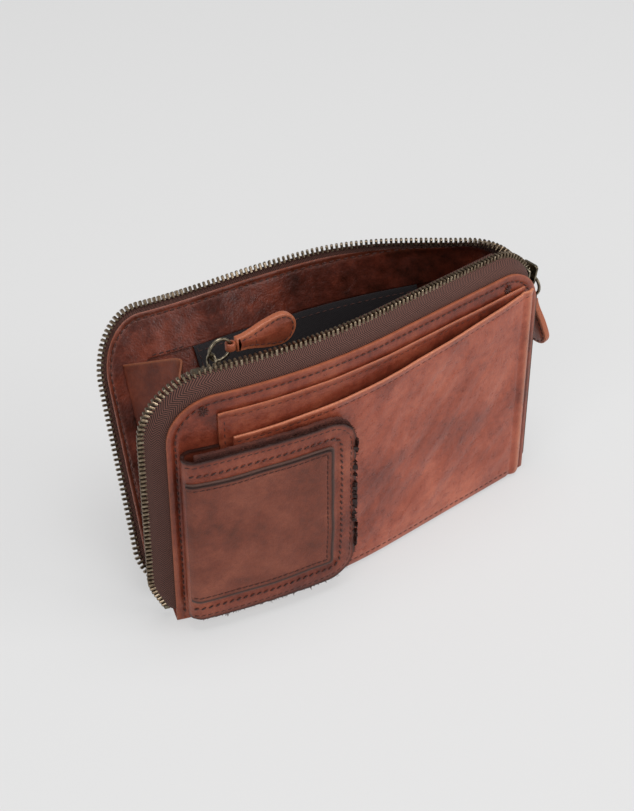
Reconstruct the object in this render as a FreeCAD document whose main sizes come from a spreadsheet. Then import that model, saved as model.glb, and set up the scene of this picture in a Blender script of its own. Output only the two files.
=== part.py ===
"""A zip-around leather wallet standing on its spine with its zip run back to the top right corner.

X runs along the length, -Y is the front, +Z is up and the origin is the middle of the spine's underside.
Front and back halves are each a set of leather and cloth plies laid on one curved reference sheet. A place
on a sheet is (u, z, d): u along the length, z up the panel and d outwards from the panel's outer face.
"""
import FreeCAD, Part
import math
import os
import Sketcher

SIZES = [
    ("panel_length", 180.0, "leather panel, end to end"),
    ("panel_height", 111.0, "leather panel, spine to top edge"),
    ("corner_radius", 20.0, "top corners of both panels"),
    ("half_depth", 10.8, "centre plane to a panel's outer face when shut"),
    ("leather", 1.2, "outer leather"),
    ("lining", 0.8, "inner leather and cloth"),
    ("ply_gap", 0.1, "clearance between two plies"),
    ("bend_start", 6.5, "where the left part starts to curve back"),
    ("front_bend", 24.0, "turn of the front over its curved part"),
    ("back_bend", 19.0, "turn of the back over its curved part"),
    ("back_lean", 37.0, "how far the open back leans at its left end"),
    ("twist_lead", 17.0, "how far beyond the right end the lean starts"),
    ("twist_length", 150.0, "length over which the lean grows"),
    ("free_length", 50.0, "left stretch of the back that swings as one"),
    ("fold_gap", 0.4, "clearance where the back's two stretches meet"),
    ("base_height", 3.0, "lower edge of the parts that swing"),
    ("seat", 1.5, "how far a tape is let in under the leather"),
    ("seat_clear", 1.0, "lining's edge inside the tape's seat"),
    ("tape", 0.7, "zip tape thickness"),
    ("tape_flat", 0.4, "flat stretch of an open tape beyond the leather"),
    ("tape_dome", 0.6, "how far an open tape domes outwards"),
    ("dome_at", 0.75, "where the dome is highest, as a share of the way to the teeth"),
    ("tape_slope", 37.0, "slope at which an open tape's thickness is measured"),
    ("shut_reach", 4.5, "teeth beyond the leather where the zip is shut"),
    ("front_reach", 8.6, "front teeth beyond the leather where open"),
    ("back_reach", 10.0, "back teeth beyond the leather where open"),
    ("front_drop", 5.7, "front teeth behind the leather face where open"),
    ("back_drop", 2.7, "back teeth behind the leather face where open"),
    ("spread_length", 70.0, "stretch over which an open tape spreads"),
    ("shut_bend", 1.5, "where a shut tape bends round the leather's end"),
    ("shut_flat", 4.0, "flat stretch of a shut tape beside its teeth"),
    ("tuck_height", 20.0, "height below which the open tapes tuck in at the left"),
    ("foot_tuck", 0.75, "how far they tuck in, as a share of their reach"),
    ("tooth_width", 2.2, "a row of teeth across the zip"),
    ("tooth_depth", 2.6, "a row of teeth through the zip"),
    ("row_gap", 0.8, "gap between the two rows where shut"),
    ("tape_foot", 6.0, "lower end of the zip tapes"),
    ("slot_left", 19.5, "card slot ply, from the left end"),
    ("slot_right", 9.0, "card slot ply, from the right end"),
    ("slot_top", 103.0, "card slot ply's top edge"),
    ("tack", 3.0, "a sewn tack, each way"),
    ("tack_left", 14.6, "left tack's middle, from the left end"),
    ("tack_right", 18.4, "right tack's middle, from the right end"),
    ("pocket_left", 25.0, "front pocket's top corner, from the left end"),
    ("pocket_right", 5.0, "front pocket, from the right end"),
    ("pocket_top_left", 91.0, "front pocket's top edge at its left"),
    ("pocket_top_right", 101.0, "front pocket's top edge at its right"),
    ("pocket_gape", 3.0, "how far the front pocket stands open"),
    ("flap_end", 72.0, "flap's free edge, from the left end"),
    ("flap_bottom", 7.0, "flap's lower edge"),
    ("flap_top", 88.0, "flap's upper edge"),
    ("flap_foot", 9.0, "lower edge of the flap's bend and sewn foot"),
    ("flap_radius", 12.0, "flap's outer corners"),
    ("flap_stand", 6.2, "flap's inner face off the panel"),
    ("flap_ply", 1.5, "each of the flap's two leathers"),
    ("flap_border", 11.0, "bare border round the flap's patch"),
    ("anchor_width", 11.0, "flap's sewn foot on the panel"),
    ("anchor_left", 8.5, "flap's sewn foot, from the left end"),
    ("coin_front", 5.0, "coin pocket's front face behind the panel"),
    ("coin_depth", 12.0, "coin pocket, front to back"),
    ("coin_top", 111.0, "coin pocket's top edge"),
    ("coin_inset", 12.0, "coin pocket, from each end"),
    ("coin_end", 4.0, "coin teeth, from each end of the coin pocket"),
    ("coin_wall", 0.8, "coin pocket's wall"),
    ("gusset_clear", 1.4, "gusset's edges off the coin pocket and the back's lining"),
    ("gusset_inset", 4.0, "gusset's back edge, from the left end"),
    ("gusset_top", 109.0, "gusset's top edge beside the coin pocket"),
    ("gusset_foot_fold", 2.0, "how far the gusset's fold reaches inwards at its foot"),
    ("gusset_fold", 16.0, "how far the gusset's fold reaches inwards"),
    ("slip_left", 45.0, "slip pocket, from the left end"),
    ("slip_right", 36.0, "slip pocket, from the right end"),
    ("slip_top", 98.0, "slip pocket's top edge"),
    ("slider_length", 11.0, "zip slider along the zip"),
    ("slider_width", 9.0, "zip slider across the zip"),
    ("slider_plate", 1.2, "zip slider's plates"),
    ("slider_room", 0.4, "clearance round the teeth in a slider"),
    ("web", 0.4, "web that joins a slider's plates"),
    ("slider_rise", 6.0, "main slider above the start of the corner"),
    ("bail_length", 7.0, "slider's bail along the zip"),
    ("bail_height", 2.9, "slider's bail off its plate"),
    ("bail_width", 1.6, "slider's bail across the zip"),
    ("wire_room", 0.3, "clearance of a ring's wire in its eye"),
    ("bail_wire", 0.8, "thickness of the bail's bar and legs"),
    ("ring_radius", 4.6, "pull ring, to the middle of its wire"),
    ("ring_wire", 0.7, "pull ring's wire radius"),
    ("loop_radius", 3.0, "coin slider's loop, to the middle of its wire"),
    ("loop_wire", 0.55, "coin slider's loop, wire radius"),
    ("loop_tilt", 15.0, "coin slider's loop, from upright"),
    ("ring_tilt", 40.0, "coin ring, from the loop, above level"),
    ("main_pull_swing", 15.0, "main puller, turned out from the side"),
    ("pull_swing", 12.0, "coin puller, turned towards the back"),
    ("sleeve", 2.1, "leather turned round the ring, outer radius"),
    ("sleeve_room", 0.4, "clearance between ring wire and leather"),
    ("sleeve_length", 3.0, "leather turned round the ring, along the wire"),
    ("pull_length", 27.0, "leather puller below the ring"),
    ("pull_width", 14.0, "leather puller at its widest"),
    ("pull_neck", 6.0, "leather puller at the ring"),
    ("pull_ply", 1.4, "each of the puller's two leathers"),
    ("coin_slider_left", 19.5, "coin slider, from the left end"),
    ("stud_radius", 5.0, "press stud"),
    ("stud_height", 1.2, "press stud's thickness"),
    ("stud_inset", 17.0, "press stud from the flap's free edge"),
    ("keeper_middle", 84.0, "patch on the back, height of its middle"),
    ("keeper_height", 16.0, "patch on the back that takes the stud"),
    ("keeper_width", 16.0, "patch on the back, along the length"),
    ("keeper_left", 2.0, "patch on the back, from the left end"),
    ("keeper_ply", 1.4, "patch on the back, thickness"),
    ("stop_length", 3.0, "metal stop at the end of a row of teeth"),
    ("top_stop", 1.8, "metal stop at the left end of an open row"),
    ("station", 7.5, "spacing of the sections along a sheet"),
]

FRONT = -1
BACK = 1


def make_document():
    """Open a document and write the driving sizes into its spreadsheet."""
    document = FreeCAD.newDocument("zip_around_wallet")
    sheet = document.addObject("Spreadsheet::Sheet", "Sizes")
    for row, (alias, value, meaning) in enumerate(SIZES, start=1):
        sheet.set("A%d" % row, meaning)
        sheet.set("B%d" % row, str(value))
        sheet.setAlias("B%d" % row, alias)
    document.recompute()
    return document, sheet


doc, sizes = make_document()
made = []


def size(alias):
    """A driving size, as the spreadsheet holds it."""
    return float(sizes.get(alias))


HALF = size("panel_length") / 2.0
HEIGHT = size("panel_height")
GAP = size("ply_gap")
LEATHER = size("leather")
LINING = size("lining")


# ---- the two reference sheets ---------------------------------------------------------------------------

def plan(u, bend):
    """Plan position and heading of the centre plane at u: straight on the right, an arc on the left."""
    run = max(size("bend_start") - u, 0.0)
    curvature = math.radians(bend) / (size("bend_start") + HALF)
    turn = curvature * run
    if run == 0.0:
        return u, 0.0, 0.0
    x = size("bend_start") - math.sin(turn) / curvature
    return x, (1.0 - math.cos(turn)) / curvature, turn


def smooth(share):
    """Ease from 0 to 1."""
    share = min(max(share, 0.0), 1.0)
    return share * share * (3.0 - 2.0 * share)


def lean(side, u):
    """Lean of a panel at u, in radians. The front stands upright."""
    if side == FRONT:
        return 0.0
    start = HALF + size("twist_lead")
    return math.radians(size("back_lean")) * smooth((start - u) / size("twist_length"))


def place(side, u, z, d=0.0):
    """The point at u along, z up and d outwards from a panel's outer face."""
    bend = size("front_bend") if side == FRONT else size("back_bend")
    x, y, turn = plan(u, bend)
    tilt = lean(side, u)
    away = size("half_depth") + z * math.sin(tilt) + d * math.cos(tilt)
    up = z * math.cos(tilt) - d * math.sin(tilt)
    return FreeCAD.Vector(x + side * away * math.sin(turn), y + side * away * math.cos(turn), up)


def stations(start, end):
    """Even steps from start to end, about one station apart."""
    count = max(int(math.ceil(abs(end - start) / size("station"))), 1)
    return [start + (end - start) * step / count for step in range(count + 1)]


def panel_top(u, inset=0.0):
    """Height of a panel's edge at u, with its rounded top corners, drawn in by inset."""
    radius = size("corner_radius")
    centre = HALF - radius
    past = min(max(abs(u) - centre, 0.0), radius - inset)
    return HEIGHT - radius + math.sqrt(max((radius - inset) ** 2 - past ** 2, 0.0))


def corner_stations(start, end, inset=0.0):
    """Stations from start to end with extra ones round the top corners."""
    steps = set(round(u, 3) for u in stations(start, end))
    radius = size("corner_radius") - inset
    for sign in (-1.0, 1.0):
        for degrees in (15, 30, 45, 60, 75, 87):
            u = sign * (HALF - size("corner_radius") + radius * math.sin(math.radians(degrees)))
            if start < u < end:
                steps.add(round(u, 3))
    ordered = sorted(steps)
    closest = 0.6
    return [u for i, u in enumerate(ordered) if i in (0, len(ordered) - 1) or ordered[i + 1] - u > closest]


# ---- solids ---------------------------------------------------------------------------------------------

def loft(sections):
    """A solid through straight-sided sections, each a list of points."""
    wires = [Part.makePolygon(list(points) + [points[0]]) for points in sections]
    return Part.makeLoft(wires, True, True)


def triangle(first, second, third):
    """A flat three-sided face, or nothing where it has no area."""
    smallest = 1e-7
    if (second - first).cross(third - first).Length < smallest:
        return []
    return [Part.Face(Part.makePolygon([first, second, third, first]))]


def faceted(sections):
    """A solid through sections that turn as they go, made of flat three-sided faces."""
    faces = []
    count = len(sections[0])
    for first, second in zip(sections, sections[1:]):
        for corner in range(count):
            following = (corner + 1) % count
            faces += triangle(first[corner], first[following], second[following])
            faces += triangle(first[corner], second[following], second[corner])
    half = count // 2
    for section in (sections[0], sections[-1]):
        for corner in range(half - 1):
            near = section[corner]
            following = section[corner + 1]
            across = section[count - 2 - corner]
            faces += triangle(near, following, across)
            faces += triangle(near, across, section[count - 1 - corner])
    shell = Part.makeShell(faces)
    solid = Part.makeSolid(shell)
    if solid.Volume < 0.0:
        solid.reverse()
    return solid


def ply(side, steps, low, high, inner, outer):
    """A ply on a sheet. low and high give its edges in z, inner and outer its faces in d, each from u."""
    sections = []
    for u in steps:
        sections.append([
            place(side, u, low(u), inner(u, low(u))),
            place(side, u, high(u), inner(u, high(u))),
            place(side, u, high(u), outer(u, high(u))),
            place(side, u, low(u), outer(u, low(u))),
        ])
    return loft(sections)


def flat_ply(side, steps, low, high, inner, outer):
    """A ply whose faces stay at one depth on the sheet."""
    return ply(side, steps, low, high, lambda u, z: inner, lambda u, z: outer)


def add(label, shape):
    """Keep a shape as a sub-part of the document."""
    feature = doc.addObject("Part::Feature", label)
    feature.Label = label
    feature.Shape = shape
    feature.Placement = FreeCAD.Placement()
    made.append(feature)
    return feature


def bind(item, **cells):
    """Bind an object's properties to expressions on the sheet."""
    for name, expression in cells.items():
        item.setExpression(name, expression)


def keep(item, label, position=None, rotation=None):
    """Label a document object as a sub-part and put it in place."""
    item.Label = label
    turn = rotation or FreeCAD.Rotation()
    item.Placement = FreeCAD.Placement(position or FreeCAD.Vector(), turn)
    made.append(item)
    return item


# ---- outer shell ----------------------------------------------------------------------------------------

def make_spine():
    """The strip the wallet stands on, from the front's lower edge to the back's."""
    steps = stations(-HALF, HALF)
    front_edge = [place(FRONT, u, 0.0) for u in steps]
    back_edge = [place(BACK, u, 0.0) for u in reversed(steps)]
    underside = Part.Face(Part.makePolygon(front_edge + back_edge + front_edge[:1]))
    add("spine", underside.extrude(FreeCAD.Vector(0, 0, LEATHER)))


def make_front_panel():
    """The front's outer leather, which stands on the spine."""
    low = LEATHER + GAP
    steps = corner_stations(-HALF, HALF)
    add("front_panel", flat_ply(FRONT, steps, lambda u: low, panel_top, -LEATHER, 0.0))


def make_front_lining():
    """The lining behind the front, inside the zip tape's seam."""
    inset = size("seat") + size("seat_clear")
    outer = -LEATHER - GAP
    steps = corner_stations(-HALF + inset, HALF - inset, inset)
    low = LEATHER + GAP
    add("front_lining", flat_ply(FRONT, steps, lambda u: low, lambda u: panel_top(u, inset),
                                 outer - LINING, outer))


def make_card_slot():
    """The ply with the stitched top edge, sewn flat on the front."""
    left = -HALF + size("slot_left")
    right = HALF - size("slot_right")
    low = LEATHER + GAP
    add("card_slot", flat_ply(FRONT, stations(left, right), lambda u: low, lambda u: size("slot_top"),
                              GAP, GAP + LINING))


def pocket_top(u):
    """Top edge of the front pocket, which climbs to the right."""
    left = -HALF + size("pocket_left")
    right = HALF - size("pocket_right")
    share = (u - left) / (right - left)
    return size("pocket_top_left") + (size("pocket_top_right") - size("pocket_top_left")) * share


def pocket_stand(u, z):
    """How far the front pocket stands off the slot ply: nothing at its seams, most at its mouth."""
    left = -HALF + size("pocket_left")
    right = HALF - size("pocket_right")
    across = math.sin(math.pi * min(max((u - left) / (right - left), 0.0), 1.0))
    return size("pocket_gape") * across * (z / pocket_top(u)) ** 2


def make_front_pocket():
    """The big pocket in front of the slot ply, built in bands so that it bellies towards its mouth."""
    left = -HALF + size("pocket_left")
    right = HALF - size("pocket_right")
    inner = 2.0 * GAP + LINING
    levels = (0.0, 0.35, 0.65, 0.85, 1.0)  # shares of the height, closer together towards the mouth
    low = LEATHER + GAP
    sections = []
    for u in stations(left, right):
        heights = [low + (pocket_top(u) - low) * share for share in levels]
        rising = [place(FRONT, u, z, inner + pocket_stand(u, z)) for z in heights]
        falling = [place(FRONT, u, z, inner + LEATHER + pocket_stand(u, z)) for z in reversed(heights)]
        sections.append(rising + falling)
    add("front_pocket", loft(sections))


def make_bartacks():
    """The two sewn tacks at the ends of the card slot."""
    low = size("slot_top") + GAP
    half_width = size("tack") / 2.0
    for label, u in (("slot_tack_left", -HALF + size("tack_left")), ("slot_tack_right", HALF - size("tack_right"))):
        add(label, flat_ply(FRONT, [u - half_width, u + half_width], lambda v: low,
                            lambda v: low + size("tack"), GAP, GAP + LINING))


def back_stretches():
    """The back's held stretch on the right and its free stretch on the left, as (name, start, end)."""
    split = -HALF + size("free_length")
    gap = size("fold_gap")
    return (("held", split + gap, HALF), ("free", -HALF, split))


def back_low(stretch):
    """Lower edge of a back ply: the free stretch stays clear of the spine as it swings."""
    return size("base_height") if stretch == "free" else LEATHER + GAP


def make_back_panel():
    """The back's outer leather, in the stretch that stays and the stretch that swings."""
    for stretch, start, end in back_stretches():
        low = back_low(stretch)
        add("back_panel_" + stretch, flat_ply(BACK, corner_stations(start, end), lambda u: low, panel_top,
                                              -LEATHER, 0.0))


def make_back_lining():
    """The lining of the back."""
    inset = size("seat") + size("seat_clear")
    outer = -LEATHER - GAP
    for stretch, start, end in back_stretches():
        low = back_low(stretch)
        first = max(start, -HALF + inset)
        last = min(end, HALF - inset)
        add("back_lining_" + stretch, flat_ply(BACK, corner_stations(first, last, inset), lambda u: low,
                                               lambda u: panel_top(u, inset), outer - LINING, outer))


def make_slip_pocket():
    """The cloth slip pocket inside the back."""
    left = -HALF + size("slip_left")
    right = HALF - size("slip_right")
    outer = -LEATHER - LINING - 2.0 * GAP
    for stretch, start, end in back_stretches():
        low = back_low(stretch)
        first = max(start, left)
        last = min(end, right)
        add("slip_pocket_" + stretch, flat_ply(BACK, stations(first, last), lambda u: low,
                                               lambda u: size("slip_top"), outer - LINING, outer))


# ---- main zip -------------------------------------------------------------------------------------------

def edge_path(inset=0.0):
    """The panel's edge from the left foot, over the top, to the start of the right side.

    Each place is (u, z, outward u, outward z)."""
    radius = size("corner_radius")
    centre_u = HALF - radius
    centre_z = HEIGHT - radius
    path = [(-HALF, z, -1.0, 0.0) for z in stations(size("tape_foot"), centre_z)]
    for degrees in range(15, 91, 15):
        turn = math.radians(degrees)
        path.append((-centre_u - radius * math.cos(turn), centre_z + radius * math.sin(turn),
                     -math.cos(turn), math.sin(turn)))
    path += [(u, HEIGHT, 0.0, 1.0) for u in stations(-centre_u, centre_u)[1:]]
    corner_turn = 50
    for degrees in range(10, corner_turn + 1, 10):
        turn = math.radians(degrees)
        path.append((centre_u + radius * math.sin(turn), centre_z + radius * math.cos(turn),
                     math.sin(turn), math.cos(turn)))
    return path


def spread(u):
    """How far the zip has opened at u: 0 at the slider, 1 where the tapes stand free."""
    return smooth((HALF - u) / size("spread_length"))


def edge_offset(side, u, z):
    """Reach and drop of the middle of the teeth beyond and behind the leather edge at (u, z)."""
    reach_open = size("front_reach") if side == FRONT else size("back_reach")
    drop_open = size("front_drop") if side == FRONT else size("back_drop")
    drop_shut = size("half_depth") - size("row_gap") / 2.0 - size("tooth_depth") / 2.0
    share = spread(u)
    reach = size("shut_reach") + (reach_open - size("shut_reach")) * share
    reach *= 1.0 - size("foot_tuck") * smooth((size("tuck_height") - z) / size("tuck_height"))
    return reach, drop_shut + (drop_open - drop_shut) * share


def tape_section(side, stop):
    """Section of an open tape: let in under the leather, domed outwards, ending at the teeth."""
    u, z, out_u, out_z = stop
    reach, drop = edge_offset(side, u, z)
    seat = size("seat")
    under = LEATHER + GAP
    edge = reach - size("tooth_width") / 2.0 - GAP
    middle = -(drop + under) / 2.0 + size("tape_dome")
    shape = ((-seat, -under), (size("tape_flat"), -under), (size("dome_at") * edge, middle),
             (edge, -drop + size("tape") / 2.0))
    in_out = size("tape") * math.sin(math.radians(size("tape_slope")))
    in_depth = size("tape") * math.cos(math.radians(size("tape_slope")))
    outer = [place(side, u + out_u * o, z + out_z * o, d) for o, d in shape]
    inner = [place(side, u + out_u * (o - in_out), z + out_z * (o - in_out), d - in_depth)
             for o, d in reversed(shape)]
    return outer + inner


def teeth_section(side, stop):
    """Section of a row of teeth on the edge of an open tape."""
    u, z, out_u, out_z = stop
    reach, drop = edge_offset(side, u, z)
    near = drop - size("tooth_depth") / 2.0
    far = drop + size("tooth_depth") / 2.0
    low = reach - size("tooth_width") / 2.0
    high = reach + size("tooth_width") / 2.0
    corners = ((low, near), (high, near), (high, far), (low, far))
    return [place(side, u + out_u * o, z + out_z * o, -d) for o, d in corners]


def zip_line():
    """X of the shut zip's teeth at the right end."""
    return HALF + size("shut_reach")


def shut_top():
    """Upper end of the shut stretch of the zip: the middle of the main slider."""
    return HEIGHT - size("corner_radius") + size("slider_rise")


def shut_tape(side):
    """A tape of the shut stretch, from the leather's end to its row of teeth."""
    thick = size("tape")
    seat_d = -LEATHER - GAP
    sections = []
    tooth_edge = size("row_gap") / 2.0 + size("tooth_width")
    top = HEIGHT - size("corner_radius")
    for z in stations(size("tape_foot"), top):
        foot = place(side, HALF - size("seat"), z, seat_d)
        bend = FreeCAD.Vector(HALF + size("shut_bend"), foot.y - side * thick, z)
        knee = FreeCAD.Vector(zip_line() - thick, side * (tooth_edge + size("shut_flat")), z)
        edge = FreeCAD.Vector(zip_line(), side * (tooth_edge + GAP), z)
        slant = thick * math.sqrt(0.5)
        shift = FreeCAD.Vector(-slant, -side * slant, 0)
        inward = FreeCAD.Vector(-thick, 0, 0)
        sections.append([foot, bend, knee, edge, edge + inward, knee + inward, bend + shift, foot + shift])
    return faceted(sections)


def shut_row(side):
    """A row of teeth of the shut stretch, a straight bar below the slider's middle."""
    near = size("row_gap") / 2.0
    depth = size("tooth_depth")
    low_y = near if side == BACK else -near - size("tooth_width")
    corner = FreeCAD.Vector(zip_line() - depth / 2.0, low_y, size("tape_foot") + size("stop_length") + GAP)
    height = shut_top() - corner.z
    return Part.makeBox(depth, size("tooth_width"), height, corner)


def make_main_zip():
    """Tapes and teeth: open over the top and down the left, shut down the right side."""
    path = edge_path()
    split_u = -HALF + size("free_length")
    gap = size("fold_gap")
    add("front_tape", faceted([tape_section(FRONT, stop) for stop in path]))
    add("front_teeth", faceted([teeth_section(FRONT, stop) for stop in path]))
    left = [stop for stop in path if stop[0] < split_u - gap] + [(split_u, HEIGHT, 0.0, 1.0)]
    right = [(split_u + gap, HEIGHT, 0.0, 1.0)] + [stop for stop in path if stop[0] > split_u + 2.0 * gap]
    for stretch, stops in (("free", left), ("held", right)):
        add("back_tape_" + stretch, faceted([tape_section(BACK, stop) for stop in stops]))
        add("back_teeth_" + stretch, faceted([teeth_section(BACK, stop) for stop in stops]))
    add("shut_tape_front", shut_tape(FRONT))
    add("shut_tape_back", shut_tape(BACK))
    add("shut_teeth", Part.makeCompound([shut_row(FRONT), shut_row(BACK)]))


def make_bottom_stop():
    """The metal stop that joins the two rows at the foot of the right side."""
    box = doc.addObject("Part::Box", "bottom_stop")
    bind(box, Length="Sizes.tooth_depth", Width="2 * Sizes.tooth_width + Sizes.row_gap",
         Height="Sizes.stop_length")
    width = 2.0 * size("tooth_width") + size("row_gap")
    corner = FreeCAD.Vector(zip_line() - size("tooth_depth") / 2.0, -width / 2.0, size("tape_foot"))
    keep(box, "bottom_stop", corner)


def make_top_stops():
    """The metal stop at the left end of each open row."""
    for side, label in ((FRONT, "front_stop"), (BACK, "back_stop")):
        top = size("tape_foot") - GAP
        stops = [(-HALF, z, -1.0, 0.0) for z in (top - size("top_stop"), top)]
        add(label, loft([teeth_section(side, stop) for stop in stops]))


# ---- sliders, rings and pullers --------------------------------------------------------------------------

def slider_parts(name):
    """A slider about its own origin: zip along Z, outer face towards +X. Plates, web and bail."""
    inner_half = "(Sizes.tooth_depth / 2 + Sizes.slider_room)"
    outer = doc.addObject("Part::Box", name + "_outer_plate")
    bind(outer, Length="Sizes.slider_plate", Width="Sizes.slider_width", Height="Sizes.slider_length")
    inner = doc.addObject("Part::Box", name + "_inner_plate")
    bind(inner, Length="Sizes.slider_plate", Width="Sizes.slider_width", Height="Sizes.slider_length")
    web = doc.addObject("Part::Box", name + "_web")
    bind(web, Length="2 * %s" % inner_half, Width="Sizes.web", Height="Sizes.slider_length / 2")
    frame = doc.addObject("Part::Box", name + "_bail_block")
    bind(frame, Length="Sizes.bail_height", Width="Sizes.bail_width", Height="Sizes.bail_length")
    eye = doc.addObject("Part::Box", name + "_bail_eye")
    bind(eye, Length="Sizes.bail_height - Sizes.bail_wire", Width="3 * Sizes.bail_width",
         Height="Sizes.bail_length - 2 * Sizes.bail_wire")
    half_length = "-Sizes.slider_length / 2"
    places = (
        (outer, inner_half, "-Sizes.slider_width / 2", half_length),
        (inner, "-%s - Sizes.slider_plate" % inner_half, "-Sizes.slider_width / 2", half_length),
        (web, "-%s" % inner_half, "-Sizes.web / 2", half_length),
        (frame, inner_half + " + Sizes.slider_plate", "-Sizes.bail_width / 2", "-Sizes.bail_length / 2"),
        (eye, inner_half + " + Sizes.slider_plate", "-1.5 * Sizes.bail_width",
         "-Sizes.bail_length / 2 + Sizes.bail_wire"),
    )
    for item, x, y, z in places:
        bind(item, **{"Placement.Base.x": x, "Placement.Base.y": y, "Placement.Base.z": z})
    bail = doc.addObject("Part::Cut", name + "_bail")
    bail.Base = frame
    bail.Tool = eye
    return outer, inner, web, bail


def make_slider(name, position, rotation):
    """A zip slider: two plates joined by a web between the rows, with a bail for its ring."""
    whole = doc.addObject("Part::MultiFuse", name)
    whole.Shapes = list(slider_parts(name))
    return keep(whole, name, position, rotation)


def bail_eye():
    """X of the ring's wire in a slider's bail, from the zip's middle."""
    plate_face = size("tooth_depth") / 2.0 + size("slider_room") + size("slider_plate")
    return plate_face + (size("bail_height") - size("bail_wire")) / 2.0


def make_ring(name, position, rotation):
    """A wire ring that passes through a slider's bail."""
    ring = doc.addObject("Part::Torus", name)
    bind(ring, Radius1="Sizes.ring_radius", Radius2="Sizes.ring_wire")
    return keep(ring, name, position, rotation)


def origin_plane(body, role):
    """One of a body's own origin planes."""
    return next(plane for plane in body.Origin.OriginFeatures if plane.Role == role)


def puller_sketch(body, name):
    """A teardrop: a straight neck at the ring, widening to a round end."""
    sketch = body.newObject("Sketcher::SketchObject", name + "_outline")
    sketch.AttachmentSupport = [(origin_plane(body, "XY_Plane"), "")]
    sketch.MapMode = "FlatFace"
    neck = size("pull_neck") / 2.0
    wide = size("pull_width") / 2.0
    end = size("pull_length")
    middle = end - wide
    left_top = FreeCAD.Vector(-neck, 0, 0)
    right_top = FreeCAD.Vector(neck, 0, 0)
    left_low = FreeCAD.Vector(-wide, -middle, 0)
    right_low = FreeCAD.Vector(wide, -middle, 0)
    sketch.addGeometry(Part.LineSegment(left_top, right_top), False)
    sketch.addGeometry(Part.LineSegment(right_top, right_low), False)
    sketch.addGeometry(Part.Arc(right_low, FreeCAD.Vector(0, -end, 0), left_low), False)
    sketch.addGeometry(Part.LineSegment(left_low, left_top), False)
    return sketch


def puller_constraints(sketch):
    """Tie the teardrop to the sheet."""
    arc_start, arc_end = (2, 1) if sketch.Geometry[2].StartPoint.x < 0 else (1, 2)
    sketch.addConstraint(Sketcher.Constraint("Coincident", 0, 2, 1, 1))
    sketch.addConstraint(Sketcher.Constraint("Coincident", 1, 2, 2, arc_start))
    sketch.addConstraint(Sketcher.Constraint("Coincident", 2, arc_end, 3, 1))
    sketch.addConstraint(Sketcher.Constraint("Coincident", 3, 2, 0, 1))
    sketch.addConstraint(Sketcher.Constraint("Symmetric", 0, 1, 0, 2, -1, 1))
    sketch.addConstraint(Sketcher.Constraint("PointOnObject", 2, 3, -2))
    neck = sketch.addConstraint(Sketcher.Constraint("DistanceX", 0, 1, 0, 2, size("pull_neck")))
    radius = sketch.addConstraint(Sketcher.Constraint("Radius", 2, size("pull_width") / 2.0))
    drop = size("pull_length") - size("pull_width") / 2.0
    depth = sketch.addConstraint(Sketcher.Constraint("DistanceY", 2, 3, -1, 1, drop))
    sketch.addConstraint(Sketcher.Constraint("PointOnObject", 0, 1, -1))
    sketch.addConstraint(Sketcher.Constraint("Horizontal", 2, arc_start, 2, 3))
    sketch.addConstraint(Sketcher.Constraint("Horizontal", 2, arc_end, 2, 3))
    sketch.setExpression("Constraints[%d]" % neck, "Sizes.pull_neck")
    sketch.setExpression("Constraints[%d]" % radius, "Sizes.pull_width / 2")
    sketch.setExpression("Constraints[%d]" % depth, "Sizes.pull_length - Sizes.pull_width / 2")


def make_puller_leather(name, position, rotation):
    """One leather of a puller, lying in its own XY plane with its neck at the origin."""
    body = doc.addObject("PartDesign::Body", name)
    sketch = puller_sketch(body, name)
    puller_constraints(sketch)
    pad = body.newObject("PartDesign::Pad", name + "_leather")
    pad.Profile = sketch
    bind(pad, Length="Sizes.pull_ply")
    return keep(body, name, position, rotation)


def make_sleeve(name, position, rotation):
    """The leather turned round the ring's wire: a short tube along its own Z."""
    outer = doc.addObject("Part::Cylinder", name + "_outside")
    bind(outer, Radius="Sizes.sleeve", Height="Sizes.sleeve_length")
    inner = doc.addObject("Part::Cylinder", name + "_inside")
    bind(inner, Radius="Sizes.ring_wire + Sizes.sleeve_room", Height="Sizes.sleeve_length")
    tube = doc.addObject("Part::Cut", name)
    tube.Base = outer
    tube.Tool = inner
    return keep(tube, name, position, rotation)


def hang_leathers(prefix, foot, turn):
    """Sleeve and two leathers that hang from a ring's wire at foot.

    turn places the pull's own frame: its length along -Z, its width along Y, its face towards X."""
    along_wire = FreeCAD.Rotation(FreeCAD.Vector(1, 0, 0), -90)
    sleeve_end = foot + turn.multVec(FreeCAD.Vector(0, -size("sleeve_length") / 2.0, 0))
    make_sleeve(prefix + "_pull_sleeve", sleeve_end, turn.multiply(along_wire))
    hang = FreeCAD.Rotation(FreeCAD.Vector(0, 1, 0), FreeCAD.Vector(0, 0, 1), FreeCAD.Vector(1, 0, 0), "XYZ")
    below = -size("sleeve") - GAP
    for layer, offset in (("_pull_outer", GAP / 2.0), ("_pull_inner", -GAP / 2.0 - size("pull_ply"))):
        make_puller_leather(prefix + layer, foot + turn.multVec(FreeCAD.Vector(offset, 0, below)),
                            turn.multiply(hang))


def eye_drop(wire):
    """Z of a wire that rests in the lower end of a slider's bail."""
    return -size("bail_length") / 2.0 + size("bail_wire") + wire + size("wire_room")


def make_main_pull():
    """The main slider at the head of the shut side, with its ring and puller."""
    origin = FreeCAD.Vector(zip_line(), 0, shut_top())
    upright = FreeCAD.Rotation()
    make_slider("main_slider", origin, upright)
    wire = origin + FreeCAD.Vector(bail_eye(), 0, eye_drop(size("ring_wire")))
    down = FreeCAD.Vector(0, 0, -size("ring_radius"))
    make_ring("main_ring", wire + down, FreeCAD.Rotation(FreeCAD.Vector(0, 1, 0), 90))
    hang_leathers("main", wire + down + down, FreeCAD.Rotation(FreeCAD.Vector(0, 1, 0), -size("main_pull_swing")))


# ---- flap -----------------------------------------------------------------------------------------------

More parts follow.
